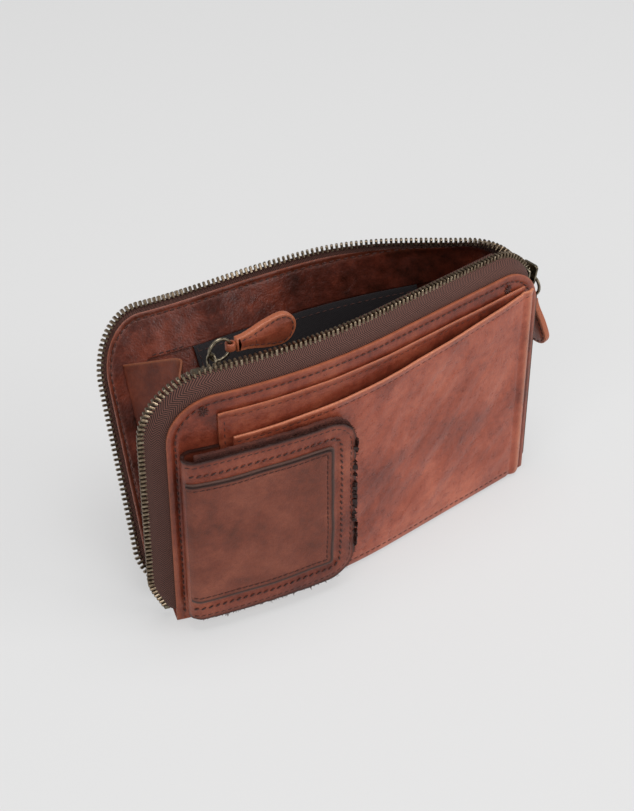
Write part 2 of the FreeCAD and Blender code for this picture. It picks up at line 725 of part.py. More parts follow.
def make_flap_anchor():
    """The flap's foot, sewn flat on the front beside the card slot ply."""
    left = -HALF + size("anchor_left")
    right = left + size("anchor_width")
    add("flap_anchor", flat_ply(FRONT, stations(left, right), lambda u: size("flap_foot"),
                                lambda u: size("flap_top"), GAP, GAP + size("flap_ply")))


def make_flap_bend():
    """The bend that carries the flap from its foot round to its face, a half ring in plan."""
    steps = 8
    inner_radius = (size("flap_stand") - GAP - size("flap_ply")) / 2.0
    outer_radius = inner_radius + size("flap_ply")
    middle_d = GAP + size("flap_ply") + inner_radius
    start_u = -HALF + size("anchor_left") - GAP
    sections = []
    for step in range(steps + 1):
        turn = math.pi * step / steps
        out_u = -math.sin(turn)
        out_d = -math.cos(turn)
        section = []
        for radius, z in ((inner_radius, size("flap_foot")), (inner_radius, size("flap_top")),
                          (outer_radius, size("flap_top")), (outer_radius, size("flap_foot"))):
            section.append(place(FRONT, start_u + out_u * radius, z, middle_d + out_d * radius))
        sections.append(section)
    add("flap_bend", loft(sections))


def flap_edge(u, inset, sign):
    """The flap's upper or lower edge at u, with its outer corner rounded."""
    radius = size("flap_radius")
    end = -HALF + size("flap_end")
    past = min(max(u - (end - radius), 0.0), radius - inset)
    drop = radius - math.sqrt(max((radius - inset) ** 2 - past ** 2, 0.0))
    if sign > 0:
        return size("flap_top") - drop
    return size("flap_bottom") + drop


def flap_stations(start, end, inset):
    """Stations along the flap with extra ones round its outer corners."""
    radius = size("flap_radius")
    steps = stations(start, end - radius + inset)
    for degrees in (20, 40, 60, 75, 86):
        steps.append(end - radius + (radius - inset) * math.sin(math.radians(degrees)))
    return sorted(steps)


def make_flap():
    """The flap's two bordered leathers and the patch sewn on them."""
    start = -HALF + size("anchor_left")
    end = -HALF + size("flap_end")
    ply_thickness = size("flap_ply")
    inner = size("flap_stand")
    steps = flap_stations(start, end, 0.0)
    for label in ("flap_inner", "flap_outer"):
        add(label, flat_ply(FRONT, steps, lambda u: flap_edge(u, 0.0, -1), lambda u: flap_edge(u, 0.0, 1),
                            inner, inner + ply_thickness))
        inner += ply_thickness + GAP
    border = size("flap_border")
    patch_end = end - border
    low = size("flap_bottom") + border
    high = size("flap_top") - border
    add("flap_patch", flat_ply(FRONT, stations(start, patch_end), lambda u: low, lambda u: high,
                               inner, inner + LINING))


def make_studs():
    """The press stud's half on the flap's inner face."""
    u = -HALF + size("flap_end") - size("stud_inset")
    z = (size("flap_top") + size("flap_bottom")) / 2.0
    face = size("flap_stand") - GAP
    base = place(FRONT, u, z, face)
    back = place(FRONT, u, z, face - 1.0) - base
    stud = doc.addObject("Part::Cylinder", "flap_stud")
    bind(stud, Radius="Sizes.stud_radius", Height="Sizes.stud_height")
    keep(stud, "flap_stud", base, FreeCAD.Rotation(FreeCAD.Vector(0, 0, 1), back))


def make_keeper():
    """The patch on the outside of the back, near its left end, that takes the flap's stud."""
    left = -HALF + size("keeper_left")
    right = left + size("keeper_width")
    middle = size("keeper_middle")
    low = middle - size("keeper_height") / 2.0
    high = middle + size("keeper_height") / 2.0
    add("keeper_patch", flat_ply(BACK, stations(left, right), lambda u: low, lambda u: high, GAP,
                                 GAP + size("keeper_ply")))
    u = (left + right) / 2.0
    face = GAP + size("keeper_ply") + GAP
    base = place(BACK, u, middle, face)
    outward = place(BACK, u, middle, face + 1.0) - base
    socket = doc.addObject("Part::Cylinder", "keeper_socket")
    bind(socket, Radius="Sizes.stud_radius", Height="Sizes.stud_height")
    keep(socket, "keeper_socket", base, FreeCAD.Rotation(FreeCAD.Vector(0, 0, 1), outward))


# ---- coin pocket ----------------------------------------------------------------------------------------

def coin_span():
    """Ends of the coin pocket along the length."""
    return -HALF + size("coin_inset"), HALF - size("coin_inset")


def coin_faces():
    """Depths of the coin pocket's front and back faces behind the front panel."""
    front = -size("coin_front")
    return front, front - size("coin_depth")


def make_coin_pocket():
    """The coin pocket's cloth: a trough behind the front lining, with its two end gussets."""
    start, end = coin_span()
    front, back = coin_faces()
    wall = size("coin_wall")
    low = LEATHER + 2.0 * GAP
    top = size("coin_top")
    sections = []
    for u in stations(start, end):
        shape = ((low, front), (top, front), (top, front - wall), (low + wall, front - wall),
                 (low + wall, back + wall), (top, back + wall), (top, back), (low, back))
        sections.append([place(FRONT, u, z, d) for z, d in shape])
    add("coin_pocket", loft(sections))
    for label, u in (("coin_gusset_left", start), ("coin_gusset_right", end - wall)):
        add(label, flat_ply(FRONT, [u, u + wall], lambda v: low + wall + GAP, lambda v: top,
                            back + wall + GAP, front - wall - GAP))


def coin_middle():
    """Depth of the coin zip's middle line."""
    front, back = coin_faces()
    return (front + back) / 2.0


def make_coin_zip():
    """The coin pocket's zip: two tapes that lie on the pocket's rims and two rows of teeth."""
    start, end = coin_span()
    front, back = coin_faces()
    middle = coin_middle()
    level = size("coin_top") + GAP
    tooth_edge = size("row_gap") / 2.0 + size("tooth_width") + GAP
    steps = stations(start, end)
    for label, inner, outer in (("coin_tape_front", middle + tooth_edge, front),
                                ("coin_tape_back", back, middle - tooth_edge)):
        add(label, flat_ply(FRONT, steps, lambda u: level, lambda u: level + size("tape"), inner, outer))
    rows = []
    low = level + size("tape") / 2.0 - size("tooth_depth") / 2.0
    high = low + size("tooth_depth")
    edge = size("coin_end")
    for sign in (-1.0, 1.0):
        near = middle + sign * size("row_gap") / 2.0
        far = middle + sign * (size("row_gap") / 2.0 + size("tooth_width"))
        rows.append(flat_ply(FRONT, stations(start + edge, end - edge), lambda u: low, lambda u: high,
                             min(near, far), max(near, far)))
    add("coin_teeth", Part.makeCompound(rows))


def coin_slider_frame():
    """Place of the coin slider: outer face up, zip direction to the left, near the left end."""
    u = -HALF + size("coin_slider_left")
    level = size("coin_top") + GAP + size("tape") / 2.0
    heading = plan(u, size("front_bend"))[2]
    turn = FreeCAD.Rotation(FreeCAD.Vector(0, 0, 1), FreeCAD.Vector(math.sin(heading), math.cos(heading), 0),
                            FreeCAD.Vector(-math.cos(heading), math.sin(heading), 0), "XYZ")
    return place(FRONT, u, level, coin_middle()), turn


def make_coin_pull():
    """The coin slider near the left end, its loop, and a ring and puller that stand on edge above the zip."""
    origin, turn = coin_slider_frame()
    make_slider("coin_slider", origin, turn)
    turn = FreeCAD.Rotation(FreeCAD.Vector(0, 0, 1), size("pull_swing")).multiply(turn)
    tilt = math.radians(size("loop_tilt"))
    rise = math.radians(size("ring_tilt"))
    loop_way = FreeCAD.Vector(math.cos(tilt), 0, -math.sin(tilt))
    ring_way = FreeCAD.Vector(math.sin(rise), 0, -math.cos(rise))
    eye = FreeCAD.Vector(bail_eye(), 0, eye_drop(size("loop_wire")))
    loop_centre = eye + loop_way * size("loop_radius")
    wires = size("loop_wire") + size("ring_wire") + 2.0 * size("wire_room")
    hold = loop_centre + loop_way * (size("loop_radius") - wires)
    ring_centre = hold + ring_way * size("ring_radius")
    foot = ring_centre - FreeCAD.Vector(0, 0, size("ring_radius"))
    loop = doc.addObject("Part::Torus", "coin_loop")
    bind(loop, Radius1="Sizes.loop_radius", Radius2="Sizes.loop_wire")
    facing = FreeCAD.Rotation(FreeCAD.Vector(0, 0, 1), FreeCAD.Vector(math.sin(tilt), 0, math.cos(tilt)))
    keep(loop, "coin_loop", origin + turn.multVec(loop_centre), turn.multiply(facing))
    on_edge = FreeCAD.Rotation(FreeCAD.Vector(1, 0, 0), 90)
    make_ring("coin_ring", origin + turn.multVec(ring_centre), turn.multiply(on_edge))
    quarter = FreeCAD.Rotation(FreeCAD.Vector(0, 0, 1), 90)
    hang_leathers("coin", origin + turn.multVec(foot), turn.multiply(quarter))


# ---- gusset ---------------------------------------------------------------------------------------------

def make_gusset():
    """The folding wall that closes the left end between the coin pocket and the back."""
    start = coin_span()[0]
    back = coin_faces()[1]
    wall = LINING
    low = size("base_height")
    front_foot = place(FRONT, start - size("gusset_clear"), low, back)
    front_head = place(FRONT, start - size("gusset_clear"), size("gusset_top"), back)
    inner = -LEATHER - LINING - GAP - size("gusset_clear")
    back_foot = place(BACK, -HALF + size("gusset_inset"), low, inner)
    back_head = place(BACK, -HALF + size("gusset_inset"), size("slip_top"), inner)
    fold_foot = (front_foot + back_foot) / 2.0 + FreeCAD.Vector(size("gusset_foot_fold"), 0, 0)
    fold_head = (front_head + back_head) / 2.0 + FreeCAD.Vector(size("gusset_fold"), 0, 0)
    thick = FreeCAD.Vector(wall, 0, 0)
    sections = []
    for foot, head in ((front_foot, front_head), (fold_foot, fold_head), (back_foot, back_head)):
        sections.append([foot, head, head + thick, foot + thick])
    add("gusset", loft(sections))


# ---- build ----------------------------------------------------------------------------------------------

def build():
    """Make every sub-part."""
    make_spine()
    make_front_panel()
    make_front_lining()
    make_card_slot()
    make_front_pocket()
    make_bartacks()
    make_back_panel()
    make_back_lining()
    make_slip_pocket()
    make_main_zip()
    make_bottom_stop()
    make_top_stops()
    make_main_pull()
    make_flap_anchor()
    make_flap_bend()
    make_flap()
    make_studs()
    make_keeper()
    make_coin_pocket()
    make_coin_zip()
    make_coin_pull()
    make_gusset()


def check():
    """Stop unless every object recomputed and every sub-part is a valid shape."""
    for item in doc.Objects:
        if "Invalid" in item.State or "Error" in item.State:
            raise RuntimeError("%s did not build: %s" % (item.Label, item.State))
    unsound = [item.Label for item in made if item.Shape.isNull() or not item.Shape.isValid()
               or item.Shape.Volume <= 0.0]
    if unsound:
        raise RuntimeError("no sound shape: %s" % unsound)


def export():
    """Write each sub-part to its own STEP file."""
    os.makedirs("parts", exist_ok=True)
    for item in made:
        item.Shape.exportStep("parts/%s.step" % item.Label)
        print("%-20s %9.1f mm3" % (item.Label, item.Shape.Volume))


build()
doc.recompute()
check()
export()
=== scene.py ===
# %% [markdown]
# # A zip-around wallet in washed leather
# The wallet stands on its spine with the zip run back to the top right corner, so the back half leans away
# at the left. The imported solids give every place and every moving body. This script dresses them in leather,
# cloth, thread and brass, and it repeats the wallet's own sizes in millimetres where a surface needs them.

# %% Load the frame
import bmesh
import bpy
import math
from mathutils import Matrix, Vector, noise


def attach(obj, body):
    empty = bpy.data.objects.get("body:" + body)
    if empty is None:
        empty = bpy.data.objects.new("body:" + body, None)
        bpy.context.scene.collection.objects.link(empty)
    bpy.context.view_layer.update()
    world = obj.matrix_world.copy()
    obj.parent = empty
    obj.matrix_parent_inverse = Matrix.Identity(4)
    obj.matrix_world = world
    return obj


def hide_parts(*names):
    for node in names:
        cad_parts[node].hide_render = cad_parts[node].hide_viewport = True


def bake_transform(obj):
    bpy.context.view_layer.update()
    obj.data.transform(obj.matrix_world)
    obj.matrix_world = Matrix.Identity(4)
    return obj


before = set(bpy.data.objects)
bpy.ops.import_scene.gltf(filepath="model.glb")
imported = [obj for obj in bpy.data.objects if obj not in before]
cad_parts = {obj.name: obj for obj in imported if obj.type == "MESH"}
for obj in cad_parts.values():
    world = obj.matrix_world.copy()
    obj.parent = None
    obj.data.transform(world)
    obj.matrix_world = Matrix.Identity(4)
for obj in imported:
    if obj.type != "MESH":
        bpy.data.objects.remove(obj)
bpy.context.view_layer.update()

# %% [markdown]
# ## Sizes and the two curved sheets
# Front and back are both drawn on a sheet that is straight on the right and curves back on the left. A place
# on a sheet is (u, z, d): u along the length, z up, d outwards from the leather. Every ply, seam and zip
# tape is a grid laid on one of the two sheets, so a few functions serve the whole wallet.

# %% Sizes
MM = 0.001
FRONT = -1
BACK = 1
HALF = 90.0
HEIGHT = 111.0
CORNER = 20.0
DEPTH = 10.8
LEATHER = 1.2
LINING = 0.8
GAP = 0.1
BEND_START = 6.5
BEND = {FRONT: math.radians(24.0), BACK: math.radians(19.0)}
LEAN = math.radians(37.0)
LOW = LEATHER + GAP


def smooth(share):
    """Ease from 0 to 1."""
    share = min(max(share, 0.0), 1.0)
    return share * share * (3.0 - 2.0 * share)


def lean(side, u):
    """How far a sheet leans back at u."""
    return 0.0 if side == FRONT else LEAN * smooth((HALF + 17.0 - u) / 150.0)


def place(side, u, z, d=0.0):
    """The point, in millimetres, at (u, z, d) of a sheet."""
    curvature = BEND[side] / (BEND_START + HALF)
    turn = curvature * max(BEND_START - u, 0.0)
    x = BEND_START - math.sin(turn) / curvature if turn > 0.0 else u
    y = (1.0 - math.cos(turn)) / curvature
    tilt = lean(side, u)
    away = DEPTH + z * math.sin(tilt) + d * math.cos(tilt)
    up = z * math.cos(tilt) - d * math.sin(tilt)
    return Vector((x + side * away * math.sin(turn), y + side * away * math.cos(turn), up))


def panel_top(u, inset=0.0):
    """Height of a panel's edge at u, with its rounded top corners."""
    radius = CORNER - inset
    past = min(max(abs(u) - HALF + CORNER, 0.0), radius)
    return HEIGHT - CORNER + math.sqrt(radius * radius - past * past)


def edge_distance(u, z):
    """Distance in from the panel's outline, its lower edge left out."""
    across = abs(u) - HALF + CORNER
    above = z - HEIGHT + CORNER
    if across > 0.0 and above > 0.0:
        return CORNER - math.hypot(across, above)
    return min(HALF - abs(u), HEIGHT - z)


def ridge(distance, at, width):
    """A smooth bump, 1 high, centred at a distance."""
    return math.exp(-((distance - at) / width) ** 2)


def ripple(u, z, length, seed=0.0):
    """Soft noise from -1 to 1 whose waves are about length long, in millimetres."""
    return noise.noise(Vector((u / length, z / length, seed)))


print("front edge reaches", place(FRONT, -HALF, HEIGHT)[:])

# %% [markdown]
# ## Material helpers
# Colours are written as sRGB hex, which is how a designer reads them, and one function turns them to linear.
# Another adds a node with its settings and links, so a material reads as a short list of nodes.

# %% Material helpers
def colour(code):
    """Linear colour with alpha from an sRGB hex code."""
    channels = [int(code[i:i + 2], 16) / 255.0 for i in (1, 3, 5)]
    linear = [c / 12.92 if c <= 0.04045 else ((c + 0.055) / 1.055) ** 2.4 for c in channels]
    return (*linear, 1.0)


def node(material, kind, settings=None, values=None, links=None):
    """Add a node, set its properties and socket values, and link its inputs."""
    added = material.node_tree.nodes.new(kind)
    for name, value in (settings or {}).items():
        setattr(added, name, value)
    for name, value in (values or {}).items():
        added.inputs[name].default_value = value
    for name, source in (links or {}).items():
        material.node_tree.links.new(source, added.inputs[name])
    return added


def new_material(name, roughness, metallic=0.0, **values):
    """A material with a Principled shader, and that shader."""
    material = bpy.data.materials.new(name)
    material.use_nodes = True
    shader = material.node_tree.nodes["Principled BSDF"]
    shader.inputs["Roughness"].default_value = roughness
    shader.inputs["Metallic"].default_value = metallic
    for socket, value in values.items():
        shader.inputs[socket.replace("_", " ")].default_value = value
    return material, shader


def ramp(material, source, stops):
    """A colour ramp over (position, hex) stops."""
    added = node(material, "ShaderNodeValToRGB", links={"Fac": source})
    elements = added.color_ramp.elements
    while len(elements) < len(stops):
        elements.new(0.5)
    for element, (position, code) in zip(elements, stops):
        element.position = position
        element.color = colour(code)
    return added.outputs["Color"]


def per_metre(size_mm):
    """Pattern scale for a feature of this size."""
    return 1.0 / (size_mm * MM)


# %% [markdown]
# ## Leather
# The real leather is vegetable-tanned sheep, drum-dyed and washed: the dye is uneven, the grain is a fine
# pebble, and turned edges rub lighter and more orange. A mesh attribute says how much of that lighter edge
# colour a place takes; it is partly real rubbing and partly a painted highlight along the rounded edges.
# Cloudy noise varies the dye, a voronoi gives the pebble, longer noise gives soft creases, and the noise that
# mottles the dye varies the gloss too. On the flap the same attribute marks the dark dye of the cut edges
# instead.

# %% Leather
def leather(name, dark, middle, light, rub_highlight_dye, roughness, grain, pebble_mm=0.9, crease=0.5):
    """Washed leather with cloudy dye, pebble grain, creases, and rubbed edges with painted highlight. Depths
    are in mm.
    """
    material, shader = new_material(name, roughness, Specular_IOR_Level=0.38)
    where = node(material, "ShaderNodeTexCoord").outputs["Object"]
    cloud = node(material, "ShaderNodeTexNoise",
                 values={"Scale": per_metre(34.0), "Detail": 5.0, "Roughness": 0.62},
                 links={"Vector": where}).outputs["Fac"]
    mottle = node(material, "ShaderNodeTexNoise",
                  values={"Scale": per_metre(4.5), "Detail": 4.0, "Roughness": 0.7},
                  links={"Vector": where}).outputs["Fac"]
    both = node(material, "ShaderNodeMix", {"data_type": "FLOAT"}, {"Factor": 0.3},
                {"A": cloud, "B": mottle}).outputs["Result"]
    dye = ramp(material, both, ((0.36, dark), (0.5, middle), (0.64, light)))
    pebble = node(material, "ShaderNodeTexVoronoi", {"feature": "SMOOTH_F1"},
                  {"Scale": per_metre(pebble_mm), "Smoothness": 0.35, "Randomness": 1.0},
                  {"Vector": where}).outputs["Distance"]
    fine = node(material, "ShaderNodeTexNoise", values={"Scale": per_metre(0.35), "Detail": 3.0},
                links={"Vector": where}).outputs["Fac"]
    # The edge colour: lighter at edges for rubbing and a painted highlight, dark on the flap for its dyed cut
    # edges.
    wear_highlight_dye = node(material, "ShaderNodeAttribute", {"attribute_name": "wear_highlight_dye"}).outputs["Fac"]
    broken = node(material, "ShaderNodeMath", {"operation": "MULTIPLY_ADD", "use_clamp": True},
                  {1: 0.7}, {0: mottle, 2: wear_highlight_dye}).outputs["Value"]
    rub_highlight_dye_share = node(material, "ShaderNodeMath", {"operation": "MULTIPLY", "use_clamp": True}, {},
               {0: broken, 1: wear_highlight_dye}).outputs["Value"]
    mixed = node(material, "ShaderNodeMix", {"data_type": "RGBA"}, {"B": colour(rub_highlight_dye)},
                 {"Factor": rub_highlight_dye_share, "A": dye}).outputs["Result"]
    speck = ramp(material, pebble, ((0.0, "#dcdcdc"), (0.55, "#ffffff")))
    tint = node(material, "ShaderNodeMix", {"data_type": "RGBA", "blend_type": "MULTIPLY"}, {"Factor": 0.55},
                {"A": mixed, "B": speck}).outputs["Result"]
    material.node_tree.links.new(tint, shader.inputs["Base Color"])
    surface = node(material, "ShaderNodeMath", {"operation": "MULTIPLY_ADD"}, {1: 0.6},
                   {0: fine, 2: pebble}).outputs["Value"]
    folds = node(material, "ShaderNodeTexNoise",
                 values={"Scale": per_metre(7.0), "Detail": 3.0, "Distortion": 1.2},
                 links={"Vector": where}).outputs["Fac"]
    soft = node(material, "ShaderNodeBump", values={"Strength": 0.6, "Distance": crease * MM},
                links={"Height": folds})
    bump = node(material, "ShaderNodeBump", values={"Strength": 0.5, "Distance": grain * MM},
                links={"Height": surface, "Normal": soft.outputs["Normal"]})
    material.node_tree.links.new(bump.outputs["Normal"], shader.inputs["Normal"])
    polish = node(material, "ShaderNodeMapRange",
                  values={"From Min": 0.3, "From Max": 0.7, "To Min": roughness - 0.09,
                  "To Max": roughness + 0.09}, links={"Value": mottle}).outputs["Result"]
    material.node_tree.links.new(polish, shader.inputs["Roughness"])
    return material


washed_leather = leather("washed_sheep_leather", "#4e1f14", "#7d3826", "#9c523a", "#b26747", 0.36, 0.16)
pocket_leather = leather("polished_pocket_leather", "#6f2f20", "#984a35", "#b5644c", "#c47c5c", 0.32, 0.14)
inner_leather = leather("inner_sheep_leather", "#260f08", "#4c1d11", "#74321f", "#8a4830", 0.36, 0.14)
gusset_hide = leather("gusset_sheep_leather", "#401a10", "#5e2919", "#7a3b27", "#96573a", 0.42, 0.14)
flap_hide = leather("raw_edged_flap_leather", "#532116", "#7c3a28", "#98513a", "#2c1510", 0.4, 0.2)
nubuck = leather("rubbed_nubuck_leather", "#502618", "#733a2a", "#8a4d3a", "#2c1813", 0.62, 0.22, 0.7)
suede = leather("napped_suede", "#25110b", "#44211a", "#653427", "#6d3c2e", 0.9, 0.4, 0.6)
painted_edge = leather("painted_leather_edge", "#2c1a16", "#3d2722", "#4f3730", "#5a4038", 0.6, 0.12)
print("leathers made")

# %% [markdown]
# ## Woven tape and lining
# Zip tape is a polyester herringbone: warp floats that lean one way, then the other, in bands. The wave
# texture gives the slanted floats, and a triangle wave across the tape turns the slant over. It follows the
# mesh's own UV map, in metres, so the bands run along the tape. The lining is a plain black cotton weave.

# %% Woven materials
def woven_uv(material):
    """The u and v of the UV map, in metres."""
    coordinates = node(material, "ShaderNodeUVMap", {"uv_map": "UVMap"}).outputs["UV"]
    split = node(material, "ShaderNodeSeparateXYZ", links={"Vector": coordinates})
    return split.outputs["X"], split.outputs["Y"]


def herringbone(name, dark, light, float_mm=1.0, band_mm=2.4):
    """Dark herringbone tape. The floats are drawn twice as coarse as real ones, so that they show."""
    material, shader = new_material(name, 0.85)
    along, across = woven_uv(material)
    band = node(material, "ShaderNodeMath", {"operation": "PINGPONG"}, {1: band_mm * MM},
                {0: across}).outputs["Value"]
    slant = node(material, "ShaderNodeMath", {"operation": "ADD"}, {}, {0: along, 1: band}).outputs["Value"]
    turns = node(material, "ShaderNodeMath", {"operation": "MULTIPLY"},
                 {1: math.tau / (float_mm * MM)}, {0: slant}).outputs["Value"]
    wave = node(material, "ShaderNodeMath", {"operation": "SINE"}, {}, {0: turns}).outputs["Value"]
    height = node(material, "ShaderNodeMapRange", values={"From Min": -1.0, "From Max": 1.0},
                  links={"Value": wave}).outputs["Result"]
    material.node_tree.links.new(ramp(material, height, ((0.1, dark), (0.9, light))),
                                 shader.inputs["Base Color"])
    bump = node(material, "ShaderNodeBump", values={"Strength": 0.7, "Distance": 0.15 * MM},
                links={"Height": height})
    material.node_tree.links.new(bump.outputs["Normal"], shader.inputs["Normal"])
    return material


def plain_weave(name, dark, light, thread_mm=0.5):
    """Black lining cotton, one thread over and one under."""
    material, shader = new_material(name, 0.9)
    heights = []
    for source in woven_uv(material):
        turns = node(material, "ShaderNodeMath", {"operation": "MULTIPLY"},
                     {1: math.pi / (thread_mm * MM)}, {0: source}).outputs["Value"]
        heights.append(node(material, "ShaderNodeMath", {"operation": "SINE"}, {},
                            {0: turns}).outputs["Value"])
    product = node(material, "ShaderNodeMath", {"operation": "MULTIPLY"}, {},
                   {0: heights[0], 1: heights[1]}).outputs["Value"]
    height = node(material, "ShaderNodeMapRange", values={"From Min": -1.0, "From Max": 1.0},
                  links={"Value": product}).outputs["Result"]
    material.node_tree.links.new(ramp(material, height, ((0.1, dark), (0.9, light))),
                                 shader.inputs["Base Color"])
    bump = node(material, "ShaderNodeBump", values={"Strength": 0.5, "Distance": 0.1 * MM},
                links={"Height": height})
    material.node_tree.links.new(bump.outputs["Normal"], shader.inputs["Normal"])
    return material


zip_tape = herringbone("polyester_herringbone_tape", "#1d0d0a", "#6b4338")
lining_cloth = plain_weave("black_lining_cotton", "#100c0e", "#231c1f")

# %% [markdown]
# ## Thread and brass
# The seams are bonded nylon, dull and a shade darker than the leather. The zip is antique brass: plated, then
# relieved, so the tops shine a dull gold and the hollows stay brown.

# %% Thread and brass
def sewing_thread(name, code):
    """Bonded nylon thread with a faint twist."""
    material, shader = new_material(name, 0.7)
    where = node(material, "ShaderNodeTexCoord").outputs["Object"]
    twist = node(material, "ShaderNodeTexNoise", values={"Scale": per_metre(0.6)},
                 links={"Vector": where}).outputs["Fac"]
    shade = ramp(material, twist, ((0.3, "#2c1410"), (0.7, code)))
    material.node_tree.links.new(shade, shader.inputs["Base Color"])
    return material


def antique_brass(name, hollow, body, high, roughness):
    """Brass with a brown patina left in its hollows."""
    material, shader = new_material(name, roughness, metallic=1.0)
    where = node(material, "ShaderNodeTexCoord").outputs["Object"]
    patina = node(material, "ShaderNodeTexNoise",
                  values={"Scale": per_metre(1.6), "Detail": 5.0, "Roughness": 0.65},
                  links={"Vector": where}).outputs["Fac"]
    shade = ramp(material, patina, ((0.3, hollow), (0.5, body), (0.72, high)))
    material.node_tree.links.new(shade, shader.inputs["Base Color"])
    bump = node(material, "ShaderNodeBump", values={"Strength": 0.3, "Distance": 0.05 * MM},
                links={"Height": patina})
    material.node_tree.links.new(bump.outputs["Normal"], shader.inputs["Normal"])
    return material


dark_thread = sewing_thread("bonded_nylon_thread", "#542a20")
brass_teeth = antique_brass("antique_brass_teeth", "#43362b", "#857460", "#b3a48e", 0.34)
brass_fittings = antique_brass("antique_brass_fittings", "#3f372c", "#7d7362", "#a89c86", 0.32)
print("materials:", len(bpy.data.materials))

# %% [markdown]
# ## Grids, rims and pieces
# A ply is a bmesh grid whose vertices move to their place on a sheet. The shape function gives each vertex
# its point, its place on the flat cut for the UV map, and its share of the edge colour: rubbing and painted
# highlight, and the dark dye of the cut edges on the flap. Solidify gives the ply its thickness, Bevel rounds
# its rim, and both are applied to the mesh.

# %% Grid pieces
def apply_modifiers(piece):
    """Make a piece's modifiers part of its mesh."""
    graph = bpy.context.evaluated_depsgraph_get()
    final = bpy.data.meshes.new_from_object(piece.evaluated_get(graph))
    piece.modifiers.clear()
    piece.data = final


def finish_piece(name, mesh, material, body, nodes=()):
    """Turn a bmesh in millimetres into a named piece that rides on a body and stands for its CAD nodes."""
    bmesh.ops.scale(mesh, vec=(MM, MM, MM), verts=mesh.verts)
    data = bpy.data.meshes.new(name)
    mesh.to_mesh(data)
    mesh.free()
    data.materials.append(material)
    data.shade_smooth()
    piece = bpy.data.objects.new(name, data)
    bpy.context.scene.collection.objects.link(piece)
    if body:
        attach(piece, body)
    if nodes:
        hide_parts(*nodes)
    return piece


def grid_piece(name, columns, rows, shape, material, body, nodes=(), thickness=0.0, rim=0.35):
    """A sheet from a grid. shape(s, t) returns a point in mm, its (u, v) in mm on the cut, and its share of the
    rubbed and painted-highlight edge colour.
    """
    mesh = bmesh.new()
    flat = mesh.loops.layers.uv.new("UVMap")
    wear_highlight_dye = mesh.verts.layers.float.new("wear_highlight_dye")
    bmesh.ops.create_grid(mesh, x_segments=columns, y_segments=rows, size=0.5)
    cut = {}
    for vertex in mesh.verts:
        point, where, rub_highlight_dye = shape(vertex.co.x + 0.5, vertex.co.y + 0.5)
        vertex.co = point
        vertex[wear_highlight_dye] = rub_highlight_dye
        cut[vertex] = Vector(where) * MM
    for face in mesh.faces:
        for loop in face.loops:
            loop[flat].uv = cut[loop.vert]
    piece = finish_piece(name, mesh, material, body, nodes)
    if thickness:
        solid = piece.modifiers.new("thickness", "SOLIDIFY")
        solid.thickness = thickness * MM
        solid.offset = -1.0
        edge = piece.modifiers.new("rim", "BEVEL")
        edge.width = rim * MM
        edge.segments = 3
        edge.limit_method = "ANGLE"
        edge.angle_limit = math.radians(50.0)
        apply_modifiers(piece)
    return piece


def follow_mouth(piece):
    """Bake the placement of a piece of the back into its mesh."""
    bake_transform(piece)


# %% [markdown]
# ## Seams
# A stitch is a short capsule of thread that dips into the leather at both ends. Thousands are needed, so
# each is a six-sided sphere stretched along the seam. A seam is walked at an even pitch along a line of
# points and outward normals.

# %% Stitches
STITCH = 2.3
STITCH_PITCH = 3.1
THREAD = 0.3


def walk(line, pitch, start=0.0):
    """Even stops along a line of (point, normal) pairs, as (point, direction, normal)."""
    stops = []
    left = start
    for (first, normal), (second, _) in zip(line, line[1:]):
        span = (second - first).length
        while span > 0.0 and left <= span:
            stops.append((first.lerp(second, left / span), (second - first).normalized(), normal))
            left += pitch
        left -= span
    return stops


def framed(point, along, normal, scale):
    """A matrix at a point whose X runs along, Z points out and which is scaled in its own axes."""
    across = normal.cross(along).normalized()
    out = along.cross(across).normalized()
    turn = Matrix((along, across, out)).transposed().to_4x4()
    return Matrix.Translation(point) @ turn @ Matrix.Diagonal((*scale, 1.0))


def stitching(name, lines, body, slant=0.12, pitch=STITCH_PITCH, thickness=THREAD):
    """One piece of thread stitches along several lines."""
    mesh = bmesh.new()
    for line in lines:
        for point, along, normal in walk(line, pitch, pitch / 2.0):
            leaned = (along + slant * normal.cross(along)).normalized()
            matrix = framed(point, leaned, normal, (STITCH / 2.0, thickness, thickness))
            bmesh.ops.create_uvsphere(mesh, u_segments=6, v_segments=4, radius=1.0,
                                      matrix=matrix @ Matrix.Rotation(math.pi / 2.0, 4, "Y"))
    print(name, "stitches:", len(mesh.faces) // 24)
    piece = finish_piece(name, mesh, dark_thread, body)
    return piece


def seam(side, places, facing=1.0):
    """A seam line through (u, z, d) places of a sheet. facing -1 is for the side that looks inwards."""
    line = []
    for u, z, d in places:
        point = place(side, u, z, d)
        normal = (place(side, u, z, d + facing) - point).normalized()
        line.append((point, normal))
    return line


def steps(start, end, count):
    """Even values from start to end."""
    return [start + (end - start) * i / count for i in range(count + 1)]


def outline(inset, left_low, right_low):
    """(u, z) places round a panel at an inset: up the left, over the top, down the right."""
    reach = HALF - inset
    top = HEIGHT - inset
    radius = CORNER - inset
    centre_u = HALF - CORNER
    centre_z = HEIGHT - CORNER
    line = [(-reach, z) for z in steps(left_low, centre_z, 20)]
    for angle in steps(0.0, math.pi / 2.0, 12)[1:]:
        line.append((-centre_u - radius * math.cos(angle), centre_z + radius * math.sin(angle)))
    line += [(u, top) for u in steps(-centre_u, centre_u, 50)[1:]]
    for angle in steps(math.pi / 2.0, 0.0, 12)[1:]:
        line.append((centre_u + radius * math.cos(angle), centre_z + radius * math.sin(angle)))
    line += [(reach, z) for z in steps(centre_z, right_low, 20)[1:]]
    return line


# %% [markdown]
# ## Front leather
# The front's leather is turned over at its edge and sewn to the tape about 3 mm in, which leaves a plump
# roll outside the seam and a groove under it. Its columns crowd together at the corners, so the grid
# follows the round corner without a kink.

# %% Front leather
SEAM_INSET = 3.3
QUARTER = CORNER * math.pi / 2.0


